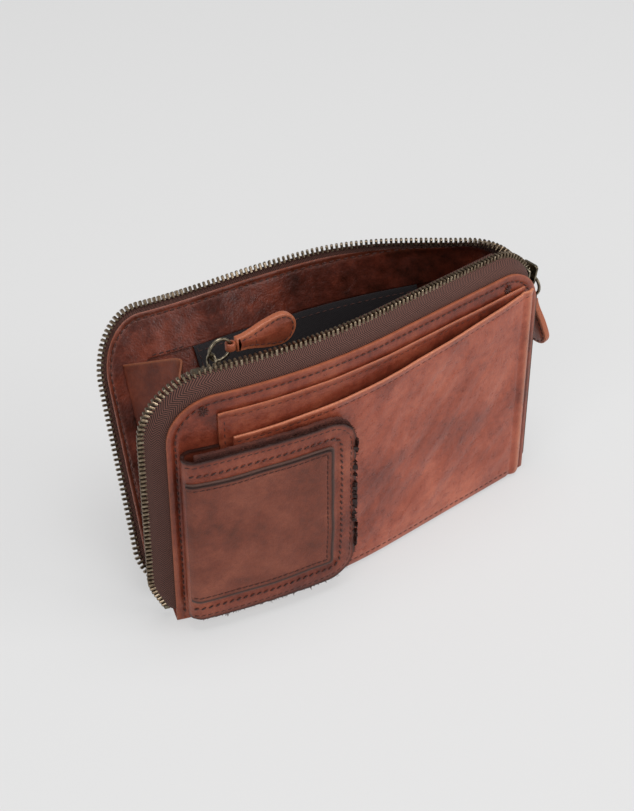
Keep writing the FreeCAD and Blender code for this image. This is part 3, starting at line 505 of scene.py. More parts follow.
def corner_u(s):
    """u for a share s of the arc length over the top edge, corners included."""
    run = (2.0 * s - 1.0) * (HALF - CORNER + QUARTER)
    past = max(abs(run) - HALF + CORNER, 0.0)
    straight = min(abs(run), HALF - CORNER)
    return math.copysign(straight + CORNER * math.sin(past / CORNER), run)


def turned_edge(u, z):
    """Relief of a turned, sewn edge: a roll outside the seam and a groove at it."""
    inset = edge_distance(u, z)
    return 0.3 * ridge(inset, 1.6, 1.1) - 0.45 * ridge(inset, SEAM_INSET, 0.6) - 0.12


def front_leather(s, t):
    u = corner_u(s)
    z = LOW + (panel_top(u) - LOW) * t
    d = turned_edge(u, z) + 0.1 * ripple(u, z, 7.0) * smooth(edge_distance(u, z) / 8.0)
    # The lighter edge along the turned rim is partly rubbing and partly painted highlight.
    return place(FRONT, u, z, d), (u, z), 0.6 * math.exp(-edge_distance(u, z) / 0.9)


front = grid_piece("front_leather", 190, 96, front_leather, washed_leather, "root", ["front_panel"], LEATHER)
front_seam = [(u, z, 0.02) for u, z in outline(SEAM_INSET, 4.0, 4.0)]
stitching("front_edge_seam", [seam(FRONT, front_seam)], "root")

# %% [markdown]
# ## Card slot and front pocket
# The card slot is a ply with a turned, sewn top edge. The big pocket lies in front of it, gapes a little at
# its mouth and has the soft slanting folds of a well-used pocket. The folds are noise stretched along a
# slanted axis and moved out of the surface, strongest in the middle.

# %% Card slot
SLOT_LEFT, SLOT_RIGHT, SLOT_TOP = -70.5, 81.0, 103.0


def slot_relief(u, z):
    """How far the slot ply's face stands off its flat place."""
    below = SLOT_TOP - z
    roll = 0.35 * ridge(below, 0.9, 0.9) - 0.3 * ridge(below, 2.9, 0.5)
    side = 0.2 * ridge(u - SLOT_LEFT, 0.9, 0.9) - 0.25 * ridge(u - SLOT_LEFT, 2.6, 0.5)
    return roll + side + 0.5 * smooth(1.0 - below / 9.0) * (0.6 + 0.4 * ripple(u, z, 16.0, 3.0))


def card_slot(s, t):
    u = SLOT_LEFT + (SLOT_RIGHT - SLOT_LEFT) * s
    top = SLOT_TOP + 0.35 * ripple(u, 0.0, 22.0, 1.0)
    z = LOW + (top - LOW) * t
    slant = 2.0 * (1.0 - s) ** 8 * (1.0 - z / SLOT_TOP)
    # The slot's lighter top and left edges are partly rubbing and partly painted highlight.
    wear_highlight_dye = 0.8 * math.exp(-(top - z) / 0.8) + 0.5 * math.exp(-(u - SLOT_LEFT) / 0.6)
    return place(FRONT, u + slant, z, 0.9 + slot_relief(u, z)), (u, z), min(wear_highlight_dye, 1.0)


slot = grid_piece("card_slot_ply", 150, 90, card_slot, washed_leather, "root", ["card_slot"], LINING)
slot_seam = [(u, SLOT_TOP - 2.9, 0.95 + slot_relief(u, SLOT_TOP - 2.9)) for u in steps(SLOT_LEFT + 2.6,
                                                                                       SLOT_RIGHT - 4.0, 60)]
slot_side = [(SLOT_LEFT + 2.6, z, 0.95 + slot_relief(SLOT_LEFT + 2.6, z)) for z in steps(SLOT_TOP - 4.0,
                                                                                         70.0, 12)]
stitching("card_slot_seam", [seam(FRONT, slot_seam), seam(FRONT, slot_side)], "root")

# %% Front pocket
POCKET_LEFT, POCKET_RIGHT = -65.0, 85.0
POCKET_TOP_LEFT, POCKET_TOP_RIGHT = 91.0, 101.0
POCKET_GAPE = 3.0


def pocket_top(u):
    """The pocket's mouth, which climbs to the right."""
    share = (u - POCKET_LEFT) / (POCKET_RIGHT - POCKET_LEFT)
    return POCKET_TOP_LEFT + (POCKET_TOP_RIGHT - POCKET_TOP_LEFT) * share


def pocket_face(u, z):
    """Depth of the pocket's outer face, with its folds, turned edges and seams."""
    share = min(max((u - POCKET_LEFT) / (POCKET_RIGHT - POCKET_LEFT), 0.0), 1.0)
    below = pocket_top(u) - z
    right = POCKET_RIGHT - u
    inside = smooth(right / 14.0) * smooth(z / 16.0) * (0.35 + 0.65 * smooth(below / 18.0))
    along = u * math.cos(0.75) + z * math.sin(0.75)
    across = z * math.cos(0.75) - u * math.sin(0.75)
    folds = 1.5 * noise.noise(Vector((along / 46.0, across / 13.0, 5.0)))
    folds += 0.35 * noise.noise(Vector((along / 17.0, across / 5.0, 9.0)))
    stand = POCKET_GAPE * math.sin(math.pi * share) * (z / pocket_top(u)) ** 2
    mouth = 0.3 * ridge(below, 1.0, 1.0) - 0.25 * ridge(below, 3.0, 0.5)
    side = 0.7 * ridge(right, 2.0, 1.8) - 0.5 * ridge(right, 5.2, 0.8)
    foot = 0.25 * ridge(z, 4.5, 0.7)
    return 2.2 + stand + inside * folds * 0.75 + mouth + side - foot - 0.9 * (1.0 - smooth(z / 5.0))


def front_pocket(s, t):
    u = POCKET_LEFT + (POCKET_RIGHT - POCKET_LEFT) * s
    z = LOW + (pocket_top(u) - LOW) * t
    # The pocket's lighter mouth, right edge and foot are partly rubbing and partly painted highlight.
    wear_highlight_dye = 0.9 * math.exp(-(pocket_top(u) - z) / 0.8) + 0.6 * ridge(POCKET_RIGHT - u, 1.6, 1.4)
    wear_highlight_dye += 0.35 * math.exp(-z / 2.0)
    return place(FRONT, u, z, pocket_face(u, z)), (u, z), min(wear_highlight_dye, 1.0)


pocket = grid_piece("front_pocket_leather", 180, 120, front_pocket, pocket_leather, "root",
                    ["front_pocket"], LEATHER)
mouth_seam = [(u, pocket_top(u) - 3.0,
               pocket_face(u, pocket_top(u) - 3.0)) for u in steps(POCKET_LEFT + 1.0, POCKET_RIGHT - 3.0, 70)]
foot_seam = [(u, 4.5, pocket_face(u, 4.5)) for u in steps(-16.0, POCKET_RIGHT - 5.0, 60)]
stitching("pocket_seams", [seam(FRONT, mouth_seam), seam(FRONT, foot_seam)], "root", thickness=0.26)

# %% [markdown]
# ## Bartacks
# Where a pocket's mouth would tear, the machine sews a small star of crossed stitches. Four stitches turned
# about one point make the star.

# %% Bartacks
def bartack(name, u, z, d, replaced):
    """A star of crossed stitches on the front."""
    centre = place(FRONT, u, z, d)
    normal = (place(FRONT, u, z, d + 1.0) - centre).normalized()
    along = (place(FRONT, u + 1.0, z, d) - centre).normalized()
    lines = []
    for turn in range(4):
        ray = Matrix.Rotation(turn * math.pi / 4.0, 3, normal) @ along * 2.4
        lift = normal * 0.08 * turn
        lines.append([(centre - ray + lift, normal), (centre + ray + lift, normal)])
    star = stitching(name, lines, "root", slant=0.0, pitch=2.4, thickness=0.36)
    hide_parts(replaced)


bartack("left_bartack", -75.4, 104.6, 0.1, "slot_tack_left")
bartack("right_bartack", 71.6, 104.6, 0.1, "slot_tack_right")

# %% [markdown]
# ## The line of the zip
# The zip follows the leather's edge from the left foot, over the top, to the slider. Where it is open, its
# tapes stand well out from the leather, and towards the slider they draw in and back until the rows meet. At
# the left foot both tapes are tucked in.

# %% Zip line
SHUT_REACH = 4.5
ROW_GAP = 0.8
TOOTH_WIDTH = 2.2
TOOTH_DEPTH = 2.6
TAPE = 0.7
TAPE_FOOT = 6.0
TUCK_HEIGHT = 20.0
FOOT_TUCK = 0.75
SPREAD_LENGTH = 70.0
REACH = {FRONT: 8.6, BACK: 10.0}
DROP = {FRONT: 5.7, BACK: 2.7}
ZIP_X = HALF + SHUT_REACH
SLIDER_Z = HEIGHT - CORNER + 6.0


def edge_stop(run):
    """(u, z, outward u, outward z) of the leather's edge after a run in mm from the left foot."""
    side_run = HEIGHT - CORNER - TAPE_FOOT
    top_run = 2.0 * (HALF - CORNER)
    if run < side_run:
        return -HALF, TAPE_FOOT + run, -1.0, 0.0
    if run < side_run + QUARTER:
        angle = (run - side_run) / CORNER
        out_u, out_z = -math.cos(angle), math.sin(angle)
        return -HALF + CORNER + CORNER * out_u, HEIGHT - CORNER + CORNER * out_z, out_u, out_z
    if run < side_run + QUARTER + top_run:
        return -HALF + CORNER + run - side_run - QUARTER, HEIGHT, 0.0, 1.0
    angle = (run - side_run - QUARTER - top_run) / CORNER
    out_u, out_z = math.sin(angle), math.cos(angle)
    return HALF - CORNER + CORNER * out_u, HEIGHT - CORNER + CORNER * out_z, out_u, out_z


OPEN_RUN = HEIGHT - CORNER - TAPE_FOOT + QUARTER + 2.0 * (HALF - CORNER) + CORNER * math.radians(50.0)


def teeth_offset(side, u, z):
    """Reach beyond and drop behind the leather's edge of the middle of the teeth."""
    drop_shut = DEPTH - ROW_GAP / 2.0 - TOOTH_DEPTH / 2.0
    share = smooth((HALF - u) / SPREAD_LENGTH)
    tuck = 1.0 - FOOT_TUCK * smooth((TUCK_HEIGHT - z) / TUCK_HEIGHT)
    reach = (SHUT_REACH + (REACH[side] - SHUT_REACH) * share) * tuck
    return reach, drop_shut + (DROP[side] - drop_shut) * share


# %% [markdown]
# ## Back half
# The back is one leather, lined with a leather facing along its edge and a cloth slip pocket below. Its CAD
# solids are split into a stretch that is held and a stretch that swings, but the real leather is whole, so
# each piece here is one grid.

# %% Back leather
def back_leather(s, t):
    u = corner_u(1.0 - s)
    z = LOW + (panel_top(u) - LOW) * t
    d = turned_edge(u, z) + 0.35 * ripple(u, z, 26.0, 2.0) * smooth(edge_distance(u, z) / 12.0)
    # The lighter edge along the turned rim is partly rubbing and partly painted highlight.
    return place(BACK, u, z, d), (u, z), 0.6 * math.exp(-edge_distance(u, z) / 0.9)


back = grid_piece("back_leather", 190, 96, back_leather, washed_leather, None,
                  ["back_panel_held", "back_panel_free"], LEATHER)
follow_mouth(back)
back_seam = [(u, z, 0.02) for u, z in outline(SEAM_INSET, 6.0, 6.0)]
follow_mouth(stitching("back_edge_seam", [seam(BACK, back_seam)], None))

# %% Back lining, facing and slip pocket
INSIDE = -LEATHER - GAP
LINED = INSIDE - LINING - GAP
FACING = 13.0
FACING_SEAM = 4.2
SLIP_LEFT, SLIP_RIGHT, SLIP_TOP = -45.0, 54.0, 98.0


def back_lining(s, t):
    inset = 2.5
    u = -HALF + inset + 2.0 * (HALF - inset) * s
    z = LOW + (panel_top(u, inset) - LOW) * t
    return place(BACK, u, z, INSIDE - LINING), (u, z), 0.0


lining = grid_piece("back_lining", 90, 40, back_lining, inner_leather, None,
                    ["back_lining_held", "back_lining_free"], LINING - 0.1, 0.1)
follow_mouth(lining)


def facing_place(s, beyond):
    """A place on the facing, beyond the leather's edge by a reach, or inside it where that is negative."""
    run = OPEN_RUN * s
    u, z, out_u, out_z = edge_stop(run)
    reach, drop = teeth_offset(BACK, u, z)
    over = min(beyond, reach - 3.4)
    share = max(over, 0.0) / max(reach, 1.0)
    depth = LINED - 0.9 - max(drop - DROP[BACK], 0.0) * share ** 1.5
    return u + out_u * over, z + out_z * over, depth, over


def back_facing(s, t):
    u, z, depth, over = facing_place(s, -FACING + (FACING + 6.6) * t)
    roll = 0.35 * ridge(over, 5.6, 0.9) - 0.35 * ridge(over, FACING_SEAM, 0.5) + 0.3 * ripple(u, z, 9.0, 4.0)
    # The facing's lighter outer edge and seam roll are partly rubbing and partly painted highlight.
    wear_highlight_dye = 0.9 * math.exp(-(6.6 - over) / 0.6) + 0.3 * ridge(over, FACING_SEAM, 1.2)
    return place(BACK, u, z, depth - roll), (OPEN_RUN * s, over), wear_highlight_dye


facing = grid_piece("back_facing", 200, 26, back_facing, inner_leather, None, [], 0.7, 0.2)
follow_mouth(facing)
facing_seam = [facing_place(s, FACING_SEAM)[:3] for s in steps(0.06, 0.98, 110)]
facing_foot = [(u, HEIGHT - FACING + 1.0, LINED - 1.0) for u in steps(-70.0, -48.0, 8)]
follow_mouth(stitching("facing_seams", [seam(BACK, facing_seam, -1.0), seam(BACK, facing_foot, -1.0)], None,
                       thickness=0.34))


def slip_pocket(s, t):
    u = SLIP_LEFT + (SLIP_RIGHT - SLIP_LEFT) * s
    z = LOW + (SLIP_TOP - 0.4 - LOW) * t
    below = SLIP_TOP - z
    gape = 1.6 * math.sin(math.pi * s) * smooth(1.0 - below / 30.0) + 0.2 * ridge(below, 3.4, 0.6)
    return place(BACK, u, z, LINED - 0.9 - gape - 0.2 * ripple(u, z, 14.0, 6.0)), (u, z), 0.0


slip = grid_piece("slip_pocket", 80, 60, slip_pocket, lining_cloth, None,
                  ["slip_pocket_held", "slip_pocket_free"], 0.6, 0.15)
follow_mouth(slip)
slip_lines = [[(u, SLIP_TOP - 3.0,
                LINED - 1.0 - 1.6 * math.sin(math.pi * (u - SLIP_LEFT) / (SLIP_RIGHT - SLIP_LEFT)))
               for u in steps(SLIP_LEFT + 1.0, SLIP_RIGHT - 1.0, 40)],
              [(SLIP_LEFT + 2.0, z, LINED - 1.1) for z in steps(SLIP_TOP - 1.0, 40.0, 12)]]
follow_mouth(stitching("slip_pocket_seams", [seam(BACK, line, -1.0) for line in slip_lines], None,
                       thickness=0.2))

# %% Front lining
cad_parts["front_lining"].data.materials.clear()
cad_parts["front_lining"].data.materials.append(lining_cloth)

# %% [markdown]
# ## Spine
# The strip under the wallet joins front to back. It is one leather that bulges a little between its seams.

# %% Spine
def spine(s, t):
    u = -HALF + 2.0 * HALF * s
    front_edge = place(FRONT, u, 0.0)
    back_edge = place(BACK, u, 0.0)
    point = front_edge.lerp(back_edge, 1.0 - t)
    rounding = 1.0 - (2.0 * abs(t - 0.5)) ** 8
    # The spine's lighter rounded sides are partly rubbing and partly painted highlight.
    return Vector((point.x, point.y, 0.7 * (1.0 - rounding))), (u, t * 21.0), 0.4 * (1.0 - rounding)


strip = grid_piece("spine_leather", 96, 20, spine, washed_leather, "root", ["spine"], LEATHER - 0.1, 0.3)

# %% [markdown]
# ## Zip tapes
# An open tape comes out from under the leather, domes over and ends in its row of teeth. Its section is a
# smooth curve through the four points that the CAD tape has, swept along the leather's edge. Where the zip
# is shut, the tape only has the short way round to the other row.

# %% Zip tapes
def tape_profile(side, u, z, t):
    """(reach, depth) of a tape's outer face at a share t from its seat to its teeth."""
    reach, drop = teeth_offset(side, u, z)
    edge = reach - 0.4
    middle = -(drop + LEATHER) / 2.0 + 1.1
    points = (Vector((-1.5, -1.35)), Vector((0.6, -1.35)), Vector((0.75 * edge, middle)),
              Vector((edge, -drop + 0.35)))
    a, b, c, d = points
    w = 1.0 - t
    controls = (a, b + (b - a) * 0.2, c + (c - d) * 0.15, d)
    curve = (w ** 3 * controls[0] + 3 * w * w * t * controls[1]
             + 3 * w * t * t * controls[2] + t ** 3 * controls[3])
    return curve.x, curve.y


def open_tape(side):
    """The shape of an open tape."""
    def shape(s, t):
        share = s if side == FRONT else 1.0 - s
        u, z, out_u, out_z = edge_stop(OPEN_RUN * share)
        reach, depth = tape_profile(side, u, z, t)
        depth += 0.25 * ripple(OPEN_RUN * share, 0.0, 24.0, 7.0) * math.sin(math.pi * t)
        return place(side, u + out_u * reach, z + out_z * reach, depth), (OPEN_RUN * share, t * 11.0), 0.0
    return shape


tapes = []
for side, name, body, nodes in ((FRONT, "front_tape", "root", ["front_tape"]),
                                (BACK, "back_tape", None, ["back_tape_held", "back_tape_free"])):
    tape = grid_piece(name + "_woven", 260, 14, open_tape(side), zip_tape, body, nodes, TAPE, 0.15)
    tapes.append(tape)
follow_mouth(tapes[1])


def shut_tape(side):
    """The shape of a tape of the shut stretch, from the leather's end to its teeth."""
    def shape(s, t):
        z = TAPE_FOOT + (HEIGHT - CORNER - TAPE_FOOT) * s
        foot = place(side, HALF - 1.5, z, INSIDE)
        corner = Vector((ZIP_X + 0.6, foot.y * 0.9, z))
        edge = Vector((ZIP_X - 0.1, side * (ROW_GAP / 2.0 + TOOTH_WIDTH + GAP), z))
        share = t if side == FRONT else 1.0 - t
        first = foot.lerp(corner, share)
        return first.lerp(corner.lerp(edge, share), share), (z, share * 10.0), 0.0
    return shape


for side, name in ((FRONT, "shut_tape_front"), (BACK, "shut_tape_back")):
    tape = grid_piece(name + "_woven", 60, 10, shut_tape(side), zip_tape, "root", [name], TAPE, 0.15)
    tapes.append(tape)

# %% [markdown]
# ## Metal teeth
# Each tooth is a small stamped clip. It is modelled once as a cube with bevelled edges, and placed at an even
# pitch along the zip, so hundreds of teeth stay light. On the open stretches the teeth stand apart, and on
# the shut one the two rows mesh.

# %% Teeth
TOOTH_PITCH = 2.1


def teeth(name, stops, body, nodes, size):
    """A row of teeth at (point, along, out) stops. size is along the zip, across it and through it."""
    mesh = bmesh.new()
    for point, along, out in stops:
        matrix = framed(point, along, out, (size[0], size[2], size[1]))
        bmesh.ops.create_cube(mesh, size=1.0, matrix=matrix)
    edges = list(mesh.edges)
    bmesh.ops.bevel(mesh, geom=edges, offset=0.3, offset_type="OFFSET", segments=1, profile=0.5,
                    affect="EDGES", material=-1)
    print(name, "teeth:", len(stops))
    row = finish_piece(name, mesh, brass_teeth, body, nodes)
    row.data.shade_flat()
    return row


def open_row(side):
    """Stops of the teeth of an open stretch."""
    line = []
    for run in steps(0.0, OPEN_RUN + 2.0, 400):
        u, z, out_u, out_z = edge_stop(run)
        reach, drop = teeth_offset(side, u, z)
        point = place(side, u + out_u * reach, z + out_z * reach, -drop)
        beyond = place(side, u + out_u * (reach + 1.0), z + out_z * (reach + 1.0), -drop)
        line.append((point, (beyond - point).normalized()))
    return walk(line, TOOTH_PITCH, 0.6)


TOOTH = (1.15, 2.9, 2.7)
teeth("front_zip_teeth", open_row(FRONT), "root", ["front_teeth"], TOOTH)
back_row = teeth("back_zip_teeth", open_row(BACK), None, ["back_teeth_held", "back_teeth_free"], TOOTH)
follow_mouth(back_row)
upward = Vector((0.0, 0.0, 1.0))
sideways = Vector((1.0, 0.0, 0.0))
shut_stops = []
for index, z in enumerate(steps(TAPE_FOOT + 4.2, SLIDER_Z - 7.0, 76)):
    lean_to = (-1.0) ** index * 0.75
    shut_stops.append((Vector((ZIP_X, lean_to, z)), upward, sideways))
teeth("shut_zip_teeth", shut_stops, "root", ["shut_teeth"], (0.95, 2.3, 3.4))

# %% [markdown]
# ## Sliders
# A slider is two plates joined by a web between the rows, with a bent bail for the ring. Each plate is a cube
# with its corners rounded and its tail drawn in, and the bail is a small square section spun half a turn.

# %% Sliders
SLIDER = (11.0, 9.0, 1.2)
PLATE_X = TOOTH_DEPTH / 2.0 + 0.4


def slider(name, matrix, body, nodes):
    """A slider about its own origin, zip along Z and outer face towards +X, put in place by a matrix."""
    mesh = bmesh.new()
    length, width, plate = SLIDER
    for side in (1.0, -1.0):
        centre = Vector((side * (PLATE_X + plate / 2.0), 0.0, 0.0))
        part = bmesh.ops.create_cube(mesh, size=1.0,
                                     matrix=Matrix.Translation(centre) @ Matrix.Diagonal((plate, width,
                                                                                          length, 1.0)))
        corners = [e for e in {e for v in part["verts"] for e in v.link_edges}
                   if abs(e.verts[0].co.x - e.verts[1].co.x) > plate / 2.0]
        for vertex in part["verts"]:
            if vertex.co.z < 0.0:
                vertex.co.y *= 0.62
        bmesh.ops.bevel(mesh, geom=corners, offset=1.9, offset_type="OFFSET", segments=5, profile=0.5,
                        affect="EDGES", material=-1)
    bmesh.ops.create_cube(mesh, size=1.0, matrix=Matrix.Translation((0.0, 0.0, length / 4.0 - 0.2))
                          @ Matrix.Diagonal((2.0 * PLATE_X + 0.2, 0.5, length / 2.0 - 1.0, 1.0)))
    rims = [e for e in mesh.edges if e.calc_face_angle(0.0) > math.radians(70.0)]
    bmesh.ops.bevel(mesh, geom=rims, offset=0.22, offset_type="OFFSET", segments=2, profile=0.5,
                    affect="EDGES", material=-1)
    start = Matrix.Translation((PLATE_X + plate - 0.15, 0.0, -3.1)) @ Matrix.Diagonal((0.02, 1.5, 0.75, 1.0))
    foot = bmesh.ops.create_cube(mesh, size=1.0, matrix=start)
    base = [f for f in {f for v in foot["verts"] for f in v.link_faces} if f.normal.x > 0.9]
    others = [f for f in {f for v in foot["verts"] for f in v.link_faces} if f not in base]
    bmesh.ops.delete(mesh, geom=others, context="FACES_ONLY")
    hoop = bmesh.ops.spin(mesh, geom=base, cent=(PLATE_X + plate - 0.15, 0.0, 0.0), axis=(0.0, 1.0, 0.0),
                          angle=math.pi, steps=14, use_duplicate=False)
    arch = {v for f in mesh.faces for v in f.verts if v.co.x > PLATE_X + plate - 0.14}
    for vertex in arch:
        vertex.co.x = PLATE_X + plate - 0.15 + (vertex.co.x - PLATE_X - plate + 0.15) * 0.86
    print(name, "bail faces:", len(hoop["geom_last"]))
    bmesh.ops.recalc_face_normals(mesh, faces=mesh.faces)
    mesh.transform(matrix)
    piece = finish_piece(name, mesh, brass_fittings, body, nodes)
    return piece


main_origin = Vector((ZIP_X, 0.0, SLIDER_Z))
slider("main_zip_slider", Matrix.Translation(main_origin), "main_slider", ["main_slider"])

COIN_FRONT, COIN_DEPTH, COIN_TOP = 5.0, 12.0, 111.0
COIN_MIDDLE = -COIN_FRONT - COIN_DEPTH / 2.0
COIN_LEVEL = COIN_TOP + GAP
COIN_SLIDER_U = -HALF + 19.5
coin_heading = BEND[FRONT] / (BEND_START + HALF) * (BEND_START - COIN_SLIDER_U)
coin_origin = place(FRONT, COIN_SLIDER_U, COIN_LEVEL + TAPE / 2.0, COIN_MIDDLE)
coin_turn = Matrix((Vector((0.0, 0.0, 1.0)), Vector((math.sin(coin_heading), math.cos(coin_heading), 0.0)),
                    Vector((-math.cos(coin_heading), math.sin(coin_heading), 0.0)))).transposed()
slider("coin_zip_slider", Matrix.Translation(coin_origin) @ coin_turn.to_4x4(), "coin_slider",
       ["coin_slider"])

# %% [markdown]
# ## Rings and small brass
# The rings, the coin slider's loop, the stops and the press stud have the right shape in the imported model, so
# they stay and only take the brass.

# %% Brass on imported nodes
for name in ("main_ring", "coin_ring", "coin_loop", "front_stop", "back_stop", "bottom_stop", "flap_stud",
             "keeper_socket"):
    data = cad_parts[name].data
    data.materials.clear()
    data.materials.append(brass_fittings)

# %% [markdown]
# ## Pullers
# A puller is a strip of leather folded round the ring, glued, and sewn into a teardrop. It starts as a round
# plate, its upper half is drawn out into the neck, and a shallow inset makes the face pillow inside the seam.

# %% Pullers
PULL_NECK, PULL_WIDTH, PULL_LENGTH = 6.0, 14.0, 27.0
PULL_THICK = 2.9
SLEEVE = 2.1
PULL_MIDDLE = PULL_LENGTH - PULL_WIDTH / 2.0


def teardrop(point):
    """Move a point of the round plate to its place on the teardrop: neck at z 0, round end below."""
    y, z = point.y, point.z
    if z > 0.0:
        rise = z / (PULL_WIDTH / 2.0)
        widest = math.sqrt(max(1.0 - rise * rise, 0.0)) * PULL_WIDTH / 2.0
        share = 0.0 if widest < 0.01 else y / widest
        half = PULL_WIDTH / 2.0 + (PULL_NECK - PULL_WIDTH) / 2.0 * smooth(rise)
        return Vector((point.x, share * half, -PULL_MIDDLE + rise * PULL_MIDDLE))
    return Vector((point.x, y, z - PULL_MIDDLE))


def pull_outline(inset):
    """Seam points round the teardrop, from one side of the neck to the other."""
    half_neck = PULL_NECK / 2.0 - inset
    radius = PULL_WIDTH / 2.0 - inset
    line = [Vector((0.0, half_neck, -2.5)), Vector((0.0, half_neck + 0.4, -6.0)),
            Vector((0.0, radius - 0.4, -PULL_MIDDLE + 3.0))]
    for angle in steps(0.0, -math.pi, 18):
        line.append(Vector((0.0, radius * math.cos(angle), -PULL_MIDDLE + radius * math.sin(angle))))
    return line + [Vector((0.0, -p.y, p.z)) for p in reversed(line[:3])]


def puller(name, matrix, body, nodes):
    """A leather puller that hangs along its own -Z with its faces towards X."""
    mesh = bmesh.new()
    wear_highlight_dye = mesh.verts.layers.float.new("wear_highlight_dye")
    mesh.loops.layers.uv.new("UVMap")
    upright = Matrix.Rotation(math.pi / 2.0, 4, "Y")
    bmesh.ops.create_circle(mesh, segments=56, radius=PULL_WIDTH / 2.0, cap_ends=True,
                            matrix=Matrix.Translation((-PULL_THICK / 2.0, 0.0, 0.0)) @ upright)
    first = list(mesh.faces)
    body_faces = bmesh.ops.extrude_face_region(mesh, geom=first)
    moved = [v for v in body_faces["geom"] if isinstance(v, bmesh.types.BMVert)]
    bmesh.ops.translate(mesh, vec=(PULL_THICK, 0.0, 0.0), verts=moved)
    bmesh.ops.recalc_face_normals(mesh, faces=mesh.faces)
    # The puller's rim keeps the most of the lighter edge colour and its faces less: partly rubbing, partly
    # painted highlight.
    for vertex in mesh.verts:
        vertex.co = teardrop(vertex.co)
        vertex[wear_highlight_dye] = 0.75
    faces = [f for f in mesh.faces if len(f.verts) > 8]
    bmesh.ops.bevel(mesh, geom=[e for f in faces for e in f.edges], offset=0.55, offset_type="OFFSET",
                    segments=3,
                    profile=0.5, affect="EDGES", material=-1)
    for width, depth, rub_highlight_dye in ((0.85, -0.2, 0.45), (0.6, 0.3, 0.2)):
        faces = [f for f in mesh.faces if len(f.verts) > 8]
        bmesh.ops.inset_individual(mesh, faces=faces, thickness=width, depth=depth, use_even_offset=False)
        for face in mesh.faces:
            if len(face.verts) > 8:
                for vertex in face.verts:
                    vertex[wear_highlight_dye] = rub_highlight_dye
    for vertex in mesh.verts:
        vertex.co.x += 0.25 * ripple(vertex.co.y, vertex.co.z, 7.0, 11.0)
    bmesh.ops.translate(mesh, vec=(0.0, 0.0, -SLEEVE - GAP), verts=mesh.verts)
    mesh.transform(matrix)
    piece = finish_piece(name, mesh, washed_leather, body, nodes)
    lines = []
    for sign in (1.0, -1.0):
        face = PULL_THICK / 2.0 - 0.02
        normal = (matrix.to_3x3() @ Vector((sign, 0.0, 0.0))).normalized()
        drop = Vector((sign * face, 0.0, -SLEEVE - GAP))
        lines.append([(matrix @ (p + drop), normal) for p in pull_outline(1.5)])
        cross = [Vector((0.0, y, -8.5)) for y in (-3.0, 0.0, 3.0)]
        lines.append([(matrix @ (p + drop), normal) for p in cross])
    stitching(name + "_seam", lines, body, pitch=2.7, thickness=0.27)
    return piece


def sleeve(name, matrix, body, node_name):
    """The leather folded round the ring's wire: a short tube along its own Y, made by spinning its wall."""
    mesh = bmesh.new()
    wear_highlight_dye = mesh.verts.layers.float.new("wear_highlight_dye")
    profile = bmesh.ops.create_grid(mesh, x_segments=1, y_segments=1, size=0.5,
                                    matrix=Matrix.Diagonal((0.95, 3.2, 1.0, 1.0)))
    bmesh.ops.translate(mesh, vec=(SLEEVE - 0.475, 0.0, 0.0), verts=profile["verts"])
    bmesh.ops.bevel(mesh, geom=list(mesh.verts), offset=0.3, offset_type="OFFSET", segments=2, profile=0.5,
                    affect="VERTICES", material=-1)
    bmesh.ops.spin(mesh, geom=list(mesh.faces) + list(mesh.edges), cent=(0.0, 0.0, 0.0), axis=(0.0, 1.0, 0.0),
                   angle=math.tau, steps=28, use_merge=True, use_duplicate=False)
    bmesh.ops.remove_doubles(mesh, verts=mesh.verts, dist=0.001)
    inner = [f for f in mesh.faces if abs(f.normal.dot(Vector((0.0, 1.0, 0.0)))) < 0.01 and len(f.verts) > 4]
    bmesh.ops.delete(mesh, geom=inner, context="FACES_ONLY")
    bmesh.ops.recalc_face_normals(mesh, faces=mesh.faces)
    # The fold is lighter all over: partly rubbing, partly painted highlight.
    for vertex in mesh.verts:
        vertex[wear_highlight_dye] = 0.5
    mesh.transform(matrix)
    piece = finish_piece(name, mesh, washed_leather, body, [node_name])


RING, RING_WIRE, LOOP, LOOP_WIRE, ROOM = 4.6, 0.7, 3.0, 0.55, 0.3
BAIL_EYE = PLATE_X + 1.2 + (2.9 - 0.8) / 2.0


def eye_drop(wire):
    """Z of a wire that rests in the lower end of a bail."""
    return -7.0 / 2.0 + 0.8 + wire + ROOM


main_foot = main_origin + Vector((BAIL_EYE, 0.0, eye_drop(RING_WIRE) - 2.0 * RING))
MAIN_PULL_OUT = math.radians(15.0)
main_hang = Matrix.Translation(main_foot) @ Matrix.Rotation(-MAIN_PULL_OUT, 4, "Y")
puller("main_leather_puller", main_hang, "main_puller", ["main_pull_outer", "main_pull_inner"])
sleeve("main_pull_fold", main_hang, "main_puller", "main_pull_sleeve")

COIN_PULL_TURN = math.radians(12.0)
pulled = Matrix.Rotation(COIN_PULL_TURN, 3, "Z") @ coin_turn
tilt = math.radians(15.0)
rise = math.radians(40.0)
loop_way = Vector((math.cos(tilt), 0.0, -math.sin(tilt)))
ring_way = Vector((math.sin(rise), 0.0, -math.cos(rise)))
loop_centre = Vector((BAIL_EYE, 0.0, eye_drop(LOOP_WIRE))) + loop_way * LOOP
hold = loop_centre + loop_way * (LOOP - LOOP_WIRE - RING_WIRE - 2.0 * ROOM)
coin_foot = coin_origin + pulled @ (hold + ring_way * RING + Vector((0.0, 0.0, -RING)))
coin_hang = Matrix.Translation(coin_foot) @ (pulled @ Matrix.Rotation(math.pi / 2.0, 3, "Z")).to_4x4()
puller("coin_leather_puller", coin_hang, "coin_puller", ["coin_pull_outer", "coin_pull_inner"])
sleeve("coin_pull_fold", coin_hang, "coin_puller", "coin_pull_sleeve")

# %% [markdown]
# ## Flap
# The flap is a suede ply inside, a leather ply outside, and a nubuck patch sewn on top. Its edges are cut and
# left raw, so the outline is broken up by fine noise and a fringe of fibres stands out of it. The leather ply
# goes on round the bend at the left and back to its sewn foot, in one sheet.

